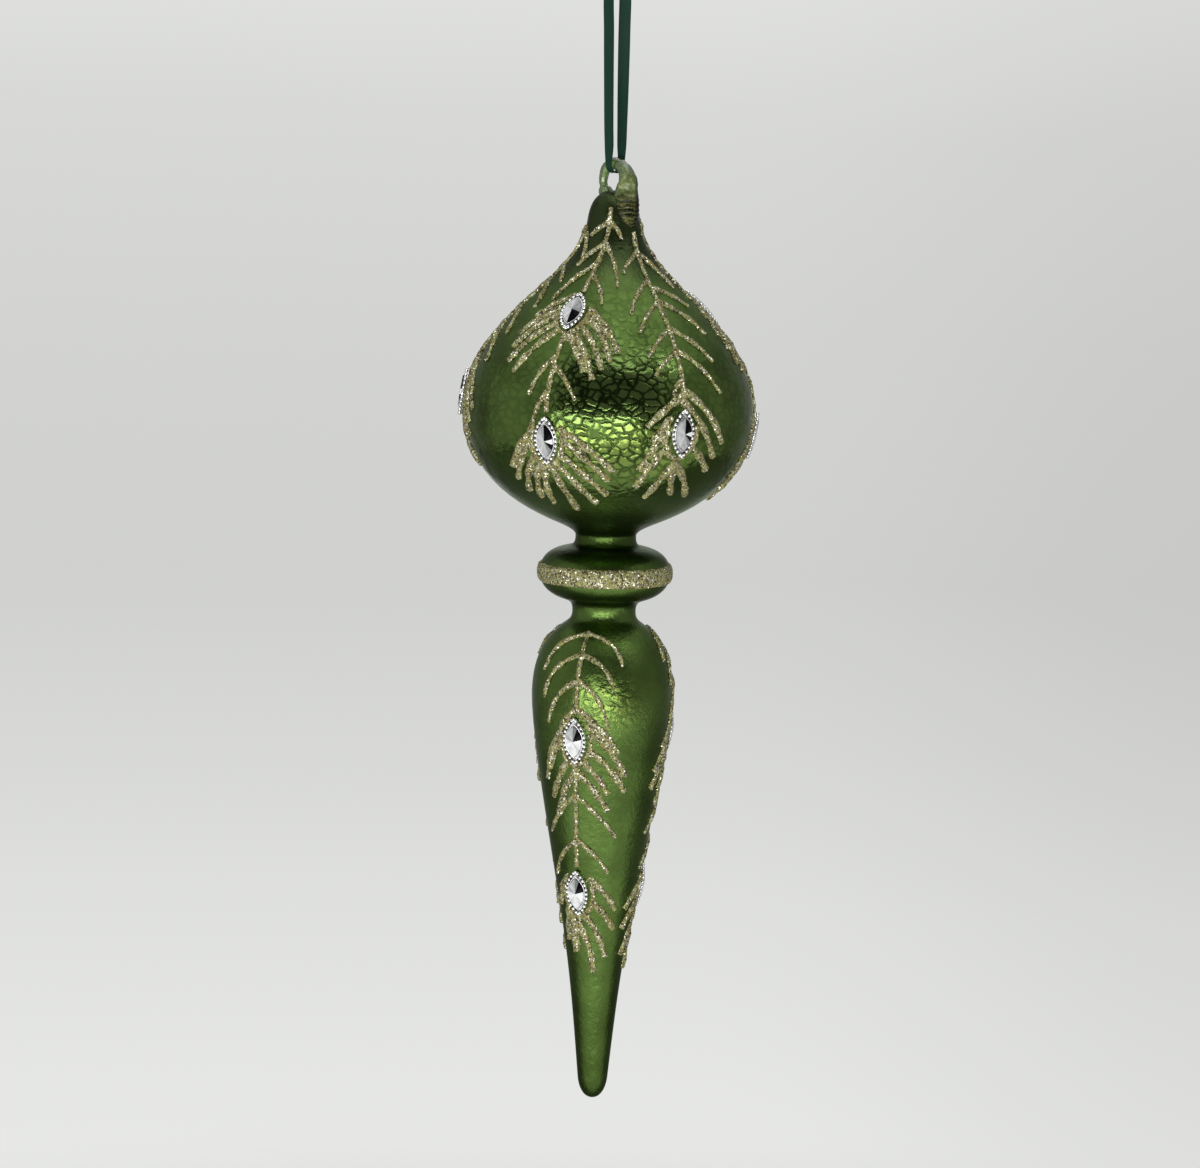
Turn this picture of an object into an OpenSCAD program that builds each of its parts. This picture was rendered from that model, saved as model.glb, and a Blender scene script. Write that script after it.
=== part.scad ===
// Glass finial ornament: a blown onion bulb over a ball collar and a long drop, hung by a ribbon loop
// through a glass hook, with raised glitter feathers and marquise gems on the glass.
// Sizes are in millimetres. The origin is the top of the ribbon loop, which the ornament hangs from.

/* [Drop] */
// Width of the drop at its widest line
drop_w = 38.2; // [35:0.2:42]
// Height of that line above the tip
drop_h = 112.6; // [104:0.2:122]
// Width of the blunt tip
tip_w = 8.2; // [7:0.2:9.6]

/* [Collar] */
// Width of the neck between the drop and the collar
low_neck_w = 17.2; // [15.8:0.2:18.8]
// Height from the drop's widest line to the lower neck
shoulder_h = 22.8; // [21:0.2:26]
// Width of the collar at its widest line
collar_w = 35.4; // [32:0.2:39]
// Height from the lower neck to the upper neck
collar_h = 20.6; // [19:0.2:23]
// Width of the neck between the collar and the bulb
high_neck_w = 16.4; // [15:0.2:18]

/* [Bulb] */
// Width of the bulb at its widest line
bulb_w = 77.8; // [72:0.2:84]
// Height from the upper neck to the bulb's widest line
bulb_low_h = 34; // [31:0.5:37]
// Height from that line to the stem
bulb_high_h = 51; // [47:0.5:56]
// Width of the stem under the hook
stem_w = 14; // [13:0.2:15.4]
// Height of the rounded stem end
stem_h = 8; // [7.4:0.2:9]
// Thickness of the glass
wall = 1.2; // [0.8:0.1:1.6]

/* [Hook] */
// Thickness of the hook's root
root_d = 7.2; // [6.6:0.1:7.8]
// Thickness of the bar that the ribbon runs under
bar_d = 3.4; // [3.2:0.1:3.8]
// Thickness of the drawn end
end_d = 2.2; // [1.8:0.1:2.6]
// Half the distance between the hook's legs
eye_r = 4.4; // [4.2:0.1:4.8]
// Height of the bar's middle above the stem end
bar_rise = 7.1; // [6.8:0.1:7.6]
// Turn of the hook's plane from the front
hook_turn = 45; // [30:1:60]

/* [Ribbon] */
// Width of the ribbon
ribbon_w = 3.2; // [2.8:0.1:3.6]
// Thickness of the ribbon
ribbon_t = 0.4; // [0.3:0.05:0.5]
// Gap between the ribbon's bend and the bar
ribbon_gap = 0.5; // [0.45:0.05:0.6]
// Height from the bar to the knot
loop_h = 51; // [48:1:70]
// Width of the knot
knot_w = 5.4; // [5:0.1:6.2]
// Length of a tail above the knot
tail_l = 9; // [7:0.5:14]

/* [Glitter and gems] */
// Width of a glitter line
line_w = 1.6; // [1.3:0.1:1.8]
// Height of a glitter line
line_h = 0.7; // [0.5:0.1:0.9]
// Height of the glitter band on the collar
band_h = 5.2; // [4.4:0.2:6]
// Thickness of the glitter band
band_t = 0.6; // [0.5:0.1:0.8]
// Length of a gem with its setting
gem_l = 13.4; // [12.4:0.2:14.4]
// Width of a gem with its setting
gem_w = 7; // [6.6:0.1:7.4]
// Height of a setting without its beads
gem_h = 1; // [0.8:0.1:1.4]
// Number of beads on each side of a setting
side_beads = 11; // [8:1:12]
// Number of feathers round the bulb
bulb_feathers = 6; // [6]
// Number of feathers round the drop
drop_feathers = 3; // [3]

/* [Hidden] */
$fn = 96;
// Space left under the band and the gems for the glue
glue = 0.1;
// Space under a glitter line, which runs straight from section to section over the curved glass
line_lift = 0.2;
// Space between a stone and its setting
seat_gap = 0.05;
// Space between a gem and the glitter lines round it
line_gap = 0.3;
// Steps in each stretch of the glass outline
steps = 8;

gem_highs = bulb_feathers / 2;

// Heights above the tip
low_neck_z = drop_h + shoulder_h;
collar_z = low_neck_z + 0.515 * collar_h;
high_neck_z = low_neck_z + collar_h;
bulb_z = high_neck_z + bulb_low_h;
stem_z = bulb_z + bulb_high_h;
crown_z = stem_z + stem_h;
bar_z = crown_z + bar_rise;
knot_z = bar_z + loop_h;
knot_h = 0.85 * knot_w;
origin_z = knot_z - knot_h / 2;

function mix(a, b, t) = a + (b - a) * t;
function bezier(p, t) = pow(1 - t, 3) * p[0] + 3 * t * pow(1 - t, 2) * p[1]
    + 3 * t * t * (1 - t) * p[2] + pow(t, 3) * p[3];

// Glass outline from the tip up. Each stop has its radius, height, lean of the line from upright,
// and how far the curve keeps that lean before and after the stop.
tip_r = tip_w / 2;
drop_r = drop_w / 2;
drop_lean = atan(1.15 * (drop_r - tip_r) / drop_h);
stops = [
    [0, 0, 90, 0, 0.6 * tip_r],
    [tip_r, 1.45 * tip_r, 5.5, 0.78 * tip_r, 0.13 * drop_h],
    [mix(tip_r, drop_r, 0.3), 0.4 * drop_h, drop_lean, 0.13 * drop_h, 0.15 * drop_h],
    [drop_r, drop_h, 0, 0.11 * drop_h, 0.35 * shoulder_h],
    [
        mix(low_neck_w / 2, drop_r, 0.36), drop_h + 0.79 * shoulder_h, -47,
        0.27 * shoulder_h, 0.14 * shoulder_h
    ],
    [low_neck_w / 2, low_neck_z, 0, 0.12 * shoulder_h, 0.11 * collar_h],
    [
        mix(low_neck_w, collar_w, 0.34) / 2, low_neck_z + 0.17 * collar_h, 72,
        0.12 * collar_h, 0.19 * collar_h
    ],
    [collar_w / 2, collar_z, 0, 0.18 * collar_h, 0.18 * collar_h],
    [
        mix(high_neck_w, collar_w, 0.36) / 2, low_neck_z + 0.84 * collar_h, -76,
        0.19 * collar_h, 0.13 * collar_h
    ],
    [high_neck_w / 2, high_neck_z, 0, 0.14 * collar_h, 0.05 * bulb_low_h],
    [
        mix(high_neck_w, bulb_w, 0.26) / 2, high_neck_z + 0.14 * bulb_low_h, 66,
        0.1 * bulb_low_h, 0.34 * bulb_low_h
    ],
    [bulb_w / 2, bulb_z, 0, 0.48 * bulb_low_h, 0.24 * bulb_high_h],
    [
        mix(stem_w, bulb_w, 0.44) / 2, bulb_z + 0.6 * bulb_high_h, -47,
        0.25 * bulb_high_h, 0.2 * bulb_high_h
    ],
    [stem_w / 2, stem_z, -7, 0.16 * bulb_high_h, 0.4 * stem_h],
    [0, crown_z, -90, 0.78 * stem_w / 2, 0]
];

function lean(a) = [sin(a), cos(a)];
function stop_at(s) = [s[0], s[1]];
function stretch(a, b) = [
    stop_at(a), stop_at(a) + a[4] * lean(a[2]), stop_at(b) - b[3] * lean(b[2]), stop_at(b)
];
outline = concat(
    [for (i = [0:len(stops) - 2], k = [0:steps - 1]) bezier(stretch(stops[i], stops[i + 1]), k / steps)],
    [[0, crown_z]]
);
last = len(outline) - 1;

// Outward normal of the outline at one of its points
function normal_at(i) = let(d = outline[min(i + 1, last)] - outline[max(i - 1, 0)]) [d[1], -d[0]] / norm(d);
inside = [
    for (i = [0:last]) i == 0 ? [0, wall] : i == last ? [0, crown_z - wall] : outline[i] - wall * normal_at(i)
];

// Length along the outline from the tip, and the point at such a length
function step_at(i) = i < last ? norm(outline[i + 1] - outline[i]) : 0;
lengths = [for (i = 0, s = 0; i <= last; s = s + step_at(i), i = i + 1) s];
r_by_length = [for (i = [0:last]) [lengths[i], outline[i][0]]];
z_by_length = [for (i = [0:last]) [lengths[i], outline[i][1]]];
length_by_z = [for (i = [0:last]) [outline[i][1], lengths[i]]];
r_by_z = [for (i = [0:last]) [outline[i][1], outline[i][0]]];
function glass_r(z) = lookup(z, r_by_z);
function run_to(z) = lookup(z, length_by_z);
function at_run(s) = [lookup(s, r_by_length), lookup(s, z_by_length)];
function rising(s) = let(d = at_run(s + 0.7) - at_run(s - 0.7)) d / norm(d);

// A feather's middle line leans as it climbs. It has its angle at a low run, its lean, that low run,
// a bow to one side, and the run where the bow ends.
turns = [for (i = 0, a = 0; i <= last; a = a + step_at(i) / max(outline[i][0], 1), i = i + 1) a * 180 / PI];
turn_by_length = [for (i = [0:last]) [lengths[i], turns[i]]];
function lean_turn(line, run) = line[1] * (lookup(run, turn_by_length) - lookup(line[2], turn_by_length));
function bow_at(line, run) = line[3] * sin(180 * max(0, min(1, (run - line[2]) / (line[4] - line[2]))));
function angle_of(across, run) = across / at_run(run)[0] * 180 / PI;
function line_turn(line, run) = line[0] + lean_turn(line, run) + angle_of(bow_at(line, run), run);

// Point on the glass: across is measured sideways from a feather's line, run along the outline,
// up is the height over the glass.
function on_glass(across, run, line, up) = let(
    p = at_run(run), d = rising(run), r = p[0] + up * d[1], a = line_turn(line, run) + angle_of(across, run)
) [r * sin(a), -r * cos(a), p[1] - up * d[0]];

module on_stand() {
    translate([0, 0, -origin_z])
        children();
}

module glass_body() {
    color([0.36, 0.5, 0.28])
        on_stand()
            difference() {
                rotate_extrude()
                    polygon(outline);
                rotate_extrude()
                    polygon(inside);
            }
}

// Hook: the middle line lies in one upright plane, as sideways, height and thickness
along_bar = [cos(hook_turn), -sin(hook_turn), 0];
across_bar = [sin(hook_turn), cos(hook_turn), 0];
leg_out = 0.1 * root_d;
hook_way = [
    [0.72 * eye_r, crown_z - 9.2, 1.1 * root_d],
    [0.82 * eye_r + 0.5 * leg_out, crown_z - 6.4, 1.08 * root_d],
    [0.86 * eye_r + leg_out, crown_z - 3.4, root_d],
    [0.9 * eye_r + leg_out, crown_z + 0.1, mix(root_d, bar_d, 0.3)],
    [0.97 * eye_r + leg_out, crown_z + 0.4 * bar_rise, mix(root_d, bar_d, 0.55)],
    [0.7 * eye_r + 0.5 * leg_out, crown_z + 0.82 * bar_rise, mix(root_d, bar_d, 0.92)],
    [0, bar_z, bar_d],
    [-0.7 * eye_r, crown_z + 0.82 * bar_rise, mix(bar_d, end_d, 0.35)],
    [-0.97 * eye_r, crown_z + 0.4 * bar_rise, mix(bar_d, end_d, 0.8)],
    [-0.82 * eye_r, crown_z - 0.2, end_d],
    [-0.5 * eye_r, crown_z - 2.4, end_d]
];
hook_sides = 16;
hook_steps = 3;

// Smooth line through a list of points
function curve_at(p, i, t) = let(
    n = len(p) - 1, a = p[max(i - 1, 0)], b = p[i], c = p[min(i + 1, n)], d = p[min(i + 2, n)]
) 0.5 * (2 * b + (c - a) * t + (2 * a - 5 * b + 4 * c - d) * t * t + (3 * b - a - 3 * c + d) * pow(t, 3));
function smooth_line(p, n) = concat(
    [for (i = [0:len(p) - 2], k = [0:n - 1]) curve_at(p, i, k / n)], [p[len(p) - 1]]
);
function heading(p, i) = let(d = p[min(i + 1, len(p) - 1)] - p[max(i - 1, 0)]) d / norm(d);

// Tube through rings that all have the same number of points
module skin(rings) {
    n = len(rings[0]);
    m = len(rings);
    polyhedron(
        points = [for (ring = rings, p = ring) p],
        faces = concat(
            [[for (k = [0:n - 1]) k]],
            [for (i = [0:m - 2], k = [0:n - 1]) [i * n + k, (i + 1) * n + k, (i + 1) * n + (k + 1) % n]],
            [for (i = [0:m - 2], k = [0:n - 1]) [i * n + k, (i + 1) * n + (k + 1) % n, i * n + (k + 1) % n]],
            [[for (k = [n - 1:-1:0]) (m - 1) * n + k]]
        )
    );
}

function hook_rings() = let(line = smooth_line(hook_way, hook_steps)) [
    for (i = [0:len(line) - 1]) let(
        d = heading([for (p = line) [p[0], p[1]]], i), out = d[1] * along_bar - [0, 0, d[0]],
        middle = line[i][0] * along_bar + [0, 0, line[i][1]]
    ) [
        for (k = [0:hook_sides - 1]) let(a = k * 360 / hook_sides)
            middle + line[i][2] / 2 * (cos(a) * out + sin(a) * across_bar)
    ]
];

module hanging_hook() {
    color([0.55, 0.6, 0.38])
        on_stand()
            difference() {
                skin(hook_rings());
                rotate_extrude()
                    polygon(concat([[0, stem_z - 8]], [for (p = outline) if (p[1] > stem_z - 8) p]));
            }
}

// Ribbon: a bend under the bar, then stations up each strand.
// A station has its place along and across the bar, its height over the bar, width and turn.
bend_r = bar_d / 2 + ribbon_gap + ribbon_t / 2;
bend_w = 0.56 * ribbon_w;
function strand(side, away, drift, twist) = [
    [0, side * bend_r, 2, mix(bend_w, ribbon_w, 0.3), -hook_turn],
    [0, side * bend_r, 5, mix(bend_w, ribbon_w, 0.7), mix(-hook_turn, twist, 0.05)],
    [0.2 * drift, side * mix(bend_r, away, 0.2), 10, ribbon_w, mix(-hook_turn, twist, 0.15)],
    [0.4 * drift, side * mix(bend_r, away, 0.4), 0.35 * loop_h, ribbon_w, mix(-hook_turn, twist, 0.4)],
    [0.6 * drift, side * mix(bend_r, away, 0.6), 0.52 * loop_h, ribbon_w, mix(-hook_turn, twist, 0.7)],
    [0.8 * drift, side * mix(bend_r, away, 0.8), 0.7 * loop_h, ribbon_w, twist],
    [drift, side * away, loop_h - 6.5, ribbon_w, twist],
    [0.5 * drift, side * 0.55 * away, loop_h - 3.6, 0.85 * ribbon_w, mix(twist, -20, 0.6)],
    [0, side * 0.5, loop_h - 1.6, 0.65 * ribbon_w, -20],
    [0, side * 0.5, loop_h + 1.6, 0.65 * ribbon_w, -20],
    [0, side * 0.9, loop_h + 0.5 * knot_h + 1.2, 0.85 * ribbon_w, -20],
    [side * 0.5, side * 2.2, loop_h + 0.5 * knot_h + 0.5 * tail_l, ribbon_w, -20],
    [side * 1, side * 4, loop_h + 0.5 * knot_h + tail_l, ribbon_w, -20]
];
front_strand = strand(-1, 3, -0.8, -35);
back_strand = strand(1, 2.6, -0.3, 0);
bend = [
    for (a = [180:22.5:360]) [0, bend_r * cos(a), bend_r * sin(a), bend_w, -hook_turn]
];
ribbon_way = concat(
    [for (i = [len(front_strand) - 1:-1:0]) front_strand[i]], bend, back_strand
);
ribbon_place = [
    for (s = ribbon_way) s[0] * along_bar + s[1] * across_bar + [0, 0, bar_z + s[2]]
];
// The ribbon's flat section, seen along the ribbon
ribbon_edge = [
    [0.5, 0.2], [0.42, 0.5], [-0.42, 0.5], [-0.5, 0.2], [-0.5, -0.2], [-0.42, -0.5], [0.42, -0.5], [0.5, -0.2]
];
function ribbon_rings() = [
    for (i = [0:len(ribbon_way) - 1]) let(
        d = heading(ribbon_place, i), flat = [cos(ribbon_way[i][4]), sin(ribbon_way[i][4]), 0],
        face = cross(d, flat) / norm(cross(d, flat)), wide = cross(face, d)
    ) [for (e = ribbon_edge) ribbon_place[i] + e[0] * ribbon_way[i][3] * wide + e[1] * ribbon_t * face]
];

module ribbon_loop() {
    color([0.1, 0.25, 0.14])
        on_stand()
            skin(ribbon_rings());
}

module ribbon_knot() {
    bulge = 0.25 * knot_w;
    color([0.1, 0.25, 0.14])
        translate([0, 0, knot_h / 2])
            rotate_extrude()
                polygon(concat(
                    [[0, -knot_h / 2]],
                    [for (a = [-90:15:90]) [knot_w / 2 - bulge + bulge * cos(a), knot_h / 2 * sin(a)]],
                    [[0, knot_h / 2]]
                ));
}

module collar_glitter_band() {
    rise = [for (k = [0:8]) collar_z + band_h * (k / 8 - 0.5)];
    color([0.78, 0.68, 0.45])
        on_stand()
            rotate_extrude()
                polygon(concat(
                    [for (z = rise) [glass_r(z) + glue, z]],
                    [
                        for (k = [8:-1:0])
                            [glass_r(rise[k]) + glue + band_t * (0.3 + 0.7 * sin(k * 22.5)), rise[k]]
                    ]
                ));
}

// One stretch of a glitter line between two cross-sections
module ridge(a, b) {
    hull()
        polyhedron(
            points = concat(a, b),
            faces = [[0, 1, 2, 3], [7, 6, 5, 4], [0, 4, 5, 1], [1, 5, 6, 2], [2, 6, 7, 3], [3, 7, 4, 0]]
        );
}

// Glitter line through points given as across and run, narrowing to a part of its width
module glitter_line(way, line, w, narrow) {
    n = len(way) - 1;
    sections = [
        for (i = [0:n]) let(
            d = heading(way, i), side = [d[1], -d[0]] * w / 2 * mix(1, narrow, i / n), top = side * 0.5
        ) [
            on_glass(way[i][0] - side[0], way[i][1] - side[1], line, line_lift),
            on_glass(way[i][0] + side[0], way[i][1] + side[1], line, line_lift),
            on_glass(way[i][0] + top[0], way[i][1] + top[1], line, line_lift + line_h),
            on_glass(way[i][0] - top[0], way[i][1] - top[1], line, line_lift + line_h)
        ]
    ];
    for (i = [0:n - 1])
        ridge(sections[i], sections[i + 1]);
}

module stem_line(from, to, line) {
    n = ceil((from - to) / 3.6);
    glitter_line([for (i = [0:n]) [0, mix(from, to, i / n)]], line, 0.85 * line_w, 1);
}

// Half the width kept free round a gem, at a height over the gem's middle
function gem_room(h) = let(r = arc_r(gem_l, gem_w), grown = r + line_gap + line_w / 2)
    abs(h) < grown ? max(0, sqrt(grown * grown - h * h) - r + gem_w / 2) : 0;

// A barb starts on the stem or beside the gem, at a place over the gem's middle, and goes down at an angle
// from the stem. It ends before it reaches the part of the glass that the next feather uses.
module barb(run, place, side, angle, reach, line, share, bend) {
    from = [side * gem_room(place), run + place];
    whole = from + reach * [side * sin(angle), -cos(angle)];
    room = 2 * PI * share * at_run(whole[1])[0] - line_w / 2 - 0.3;
    part = abs(whole[0]) > room ? max(0.3, (room - abs(from[0])) / (abs(whole[0]) - abs(from[0]))) : 1;
    tip = mix(from, whole, part);
    knee = mix(from, tip, 0.5) + bend * part * reach * [side * cos(angle), sin(angle)];
    n = max(2, ceil(part * reach / 3.5));
    eye = abs(place) < eye_top;
    glitter_line(
        [for (i = [0:n]) mix(mix(from, knee, i / n), mix(knee, tip, i / n), i / n)],
        line, eye ? line_w : 0.75 * line_w, eye ? 0.8 : 0.45
    );
}

// Rows of barbs: the place over the gem's middle, then angle and length of the left and of the right barb.
// A length of 0 leaves a barb out.
eye_top = 12;
two_gem_tip = [[30, 49, 6.5, 42, 8]];
two_gem_high = [
    [24, 39, 11.5, 30, 17], [18, 33, 16.5, 0, 0], [14, 0, 0, 32, 12.5],
    [6, 48, 12.5, 0, 0], [1.2, 48, 16, 40, 18.5], [-1.2, 44, 16, 36, 17.5], [-3.9, 42, 17.5, 34, 16.5],
    [-6.3, 38, 17, 33, 17], [-7.6, 0, 0, 37, 13.5]
];
two_gem_low = [
    [23, 27, 13, 0, 0], [20, 0, 0, 40, 12], [13.5, 21, 15.5, 0, 0], [3, 33, 13.5, 50, 17.5],
    [0, 25, 13.5, 45, 16], [-4, 18, 13, 41, 16.5], [-6.3, 11, 13, 32, 16.5], [-7.4, 1, 14, 12, 17]
];
one_gem = [
    [56, 42, 9.5, 36, 18.5], [47, 37, 15.5, 0, 0], [44, 0, 0, 57, 16], [39, 40, 14, 48, 17.5],
    [29.5, 44, 12.5, 48, 16], [22.5, 46, 10.5, 46, 18], [14.5, 35, 5.5, 0, 0], [11.5, 0, 0, 45, 21],
    [10, 50, 13, 0, 0], [8, 0, 0, 39, 19.5], [3.7, 34, 7.5, 0, 0], [0, 26, 11.5, 0, 0],
    [-3.8, 22, 13, 46, 10], [-8, 19, 13, 34, 14.5], [-8.4, -15, 11, 0, 0]
];
drop_high = [
    [30, 45, 17, 50, 15], [23.6, 41, 17, 45, 14], [16.3, 35, 15, 35, 15.5], [9, 29, 19.5, 44, 17],
    [4, 0, 0, 36, 17], [-0.6, 25, 12.5, 0, 0], [-2.7, 0, 0, 39, 15], [-6.2, 26, 12, 38, 11],
    [-8.6, 23, 14.5, 39, 14], [-15.4, 38, 15, 42, 16]
];
drop_low = [
    [15.2, 35, 13.5, 42, 12.5], [4, 22, 15, 36, 17], [-2.5, 0, 0, 32, 14],
    [-4.8, 2, 9.5, 0, 0], [-6.6, -4, 11, 24, 13], [-8.4, 6, 9, 14, 15]
];

module barbs(rows, run, line, shares, bend) {
    for (row = rows) {
        if (row[2] > 0) barb(run, row[0], -1, row[1], row[2], line, shares[0], row[0] > eye_top ? bend : 0.1);
        if (row[4] > 0) barb(run, row[0], 1, row[3], row[4], line, shares[1], row[0] > eye_top ? bend : 0.1);
    }
}

// How each feather was laid: its angle at the low gem, its bow, and the low gem's height over the usual one
bulb_lay = [
    [-90, 0, 6.7], [-24.7, -1.8, -2.5], [29.6, 0, 0], [94, 2.2, -3.3], [153.5, 1.5, -0.5], [211.5, 0.4, -2]
];
// The same on the drop: its angle at the low gem, its lean, and the side of its long barbs
drop_lay = [[-27.6, 0.032, 1], [106, 0, -1], [215, 0.032, 1]];

// Places of the gems, as lengths along the outline
function bulb_low_run(i) = run_to(bulb_z - 0.08 * bulb_low_h + bulb_lay[i - 1][2]);
bulb_high_run = run_to(bulb_z + 0.535 * bulb_high_h);
bulb_top_run = run_to(stem_z - 0.055 * bulb_high_h);
bulb_tip_run = run_to(stem_z + 0.45 * stem_h);
drop_high_run = run_to(0.909 * drop_h);
drop_low_run = run_to(0.528 * drop_h);
drop_top_run = run_to(drop_h + 0.81 * shoulder_h);
gem_end = gem_l / 2 + line_gap + 0.4;

function bulb_line(i) = [bulb_lay[i - 1][0], 0.078, bulb_low_run(i), bulb_lay[i - 1][1], bulb_top_run];
function drop_line(i) = [drop_lay[i - 1][0], drop_lay[i - 1][1], drop_low_run, 0, drop_top_run];
function sided(rows, side) = side > 0 ? rows : [for (row = rows) [row[0], row[3], row[4], row[1], row[2]]];
function has_high_gem(i) = i % 2 == 0;
bulb_shares = [0.5, 0.5] / bulb_feathers;
tip_shares = [0.7, 0.6] / bulb_feathers;
drop_shares = [0.42, 0.58] / drop_feathers;

module bulb_feather(i) {
    line = bulb_line(i);
    low = bulb_low_run(i);
    color([0.8, 0.7, 0.46])
        on_stand()
            union() {
                if (has_high_gem(i)) {
                    stem_line(bulb_tip_run, bulb_high_run + gem_end, line);
                    barbs(two_gem_tip, bulb_high_run, line, tip_shares, 0.1);
                    barbs(two_gem_high, bulb_high_run, line, bulb_shares, 0.1);
                    stem_line(bulb_high_run - gem_end, low + gem_end, line);
                    barbs(two_gem_low, low, line, bulb_shares, 0.1);
                } else {
                    stem_line(bulb_top_run, low + gem_end, line);
                    barbs(one_gem, low, line, bulb_shares, 0.1);
                }
            }
}

module drop_feather(i) {
    line = drop_line(i);
    side = drop_lay[i - 1][2];
    shares = side > 0 ? drop_shares : [drop_shares[1], drop_shares[0]];
    color([0.8, 0.7, 0.46])
        on_stand()
            union() {
                stem_line(drop_top_run, drop_high_run + gem_end, line);
                barbs(sided(drop_high, side), drop_high_run, line, shares, 0.28);
                stem_line(drop_high_run - gem_end, drop_low_run + gem_end, line);
                barbs(sided(drop_low, side), drop_low_run, line, shares, 0.15);
            }
}

// Children stand on the glass with their back to it and their length up the outline
module set_on_glass(run, line) {
    d = rising(run);
    turn = line_turn(line, run);
    place = on_glass(0, run, line, glue);
    out = [sin(turn), -cos(turn), 0];
    side = [cos(turn), sin(turn), 0];
    up = d[0] * out + [0, 0, d[1]];
    face = d[1] * out - [0, 0, d[0]];
    on_stand()
        multmatrix([
            [side[0], up[0], face[0], place[0]],
            [side[1], up[1], face[1], place[1]],
            [side[2], up[2], face[2], place[2]]
        ])
            children();
}

// Pointed oval made by two arcs
function arc_r(l, w) = (l * l + w * w) / (4 * w);
module marquise(l, w) {
    r = arc_r(l, w);
    intersection() {
        translate([r - w / 2, 0])
            circle(r);
        translate([w / 2 - r, 0])
            circle(r);
    }
}

bead_d = 0.95;
bead_gap = 0.1;
rim = 1.15;
stone_l = gem_l - 4 * rim;
stone_w = gem_w - 2 * rim;
recess = 0.55 * gem_h;
girdle_h = 0.3;
crown_h = 0.6;

module setting() {
    l = gem_l - 2 * rim;
    w = gem_w - rim;
    r = arc_r(l, w);
    half = acos(1 - (w / 2 - (bead_d + bead_gap) / 2) / r);
    difference() {
        linear_extrude(gem_h)
            marquise(gem_l, gem_w);
        translate([0, 0, gem_h - recess])
            linear_extrude(gem_h)
                marquise(stone_l, stone_w);
    }
    for (side = [-1, 1], k = [0:side_beads - 1]) {
        a = half * (2 * k / (side_beads - 1) - 1);
        translate([side * (w / 2 - r + r * cos(a)), r * sin(a), gem_h])
            sphere(d = bead_d);
    }
}

// Cut stone: a girdle, a ring of slanting facets and a flat table
module stone() {
    l = stone_l - 4 * seat_gap;
    w = stone_w - 2 * seat_gap;
    r = arc_r(l, w);
    half = asin(l / 2 / r);
    side = [for (k = [0:5]) let(a = half * (k / 3 - 1)) [w / 2 - r + r * cos(a), r * sin(a)]];
    girdle = concat(side, [for (p = side) -p]);
    function level(size, z) = [for (p = girdle) [size * p[0], size * p[1], z]];
    deep = recess + girdle_h;
    translate([0, 0, gem_h - recess])
        skin([level(1, 0), level(1, deep), level(0.78, deep + 0.6 * crown_h), level(0.5, deep + crown_h)]);
}

function bulb_gem_feather(i) = i > bulb_feathers ? 2 * (i - bulb_feathers) : i;
function bulb_gem_run(i) = i > bulb_feathers ? bulb_high_run : bulb_low_run(i);
function bulb_gem_line(i) = bulb_line(bulb_gem_feather(i));
function drop_gem_run(i) = i > drop_feathers ? drop_low_run : drop_high_run;
function drop_gem_line(i) = drop_line((i - 1) % drop_feathers + 1);

module gem_setting(run, line) {
    color([0.8, 0.8, 0.78])
        set_on_glass(run, line)
            setting();
}

module gem(run, line) {
    color([0.22, 0.23, 0.22])
        set_on_glass(run, line)
            stone();
}

glass_body();
hanging_hook();
ribbon_loop();
ribbon_knot();
collar_glitter_band();
for (i = [1:bulb_feathers])
    bulb_feather(i);
for (i = [1:drop_feathers])
    drop_feather(i);
for (i = [1:bulb_feathers + gem_highs]) {
    gem(bulb_gem_run(i), bulb_gem_line(i));
    gem_setting(bulb_gem_run(i), bulb_gem_line(i));
}
for (i = [1:2 * drop_feathers]) {
    gem(drop_gem_run(i), drop_gem_line(i));
    gem_setting(drop_gem_run(i), drop_gem_line(i));
}
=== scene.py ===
import random
from math import acos, asin, atan, atan2, ceil, cos, degrees, pi, radians, sin, sqrt

import bpy
from mathutils import Matrix, Vector


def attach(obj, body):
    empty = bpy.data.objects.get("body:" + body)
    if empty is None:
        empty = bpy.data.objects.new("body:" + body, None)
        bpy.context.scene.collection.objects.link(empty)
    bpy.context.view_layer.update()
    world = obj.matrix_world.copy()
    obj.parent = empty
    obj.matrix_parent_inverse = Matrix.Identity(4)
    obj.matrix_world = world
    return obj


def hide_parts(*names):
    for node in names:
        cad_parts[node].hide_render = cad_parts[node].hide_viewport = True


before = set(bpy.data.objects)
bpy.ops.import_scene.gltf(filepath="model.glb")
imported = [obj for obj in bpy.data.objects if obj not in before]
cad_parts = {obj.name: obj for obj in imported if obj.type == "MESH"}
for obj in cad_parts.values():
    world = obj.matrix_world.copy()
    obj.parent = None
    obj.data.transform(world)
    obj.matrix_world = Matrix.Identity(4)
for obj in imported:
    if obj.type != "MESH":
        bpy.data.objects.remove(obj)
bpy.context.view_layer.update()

MM = 0.001
random.seed(7)

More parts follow.
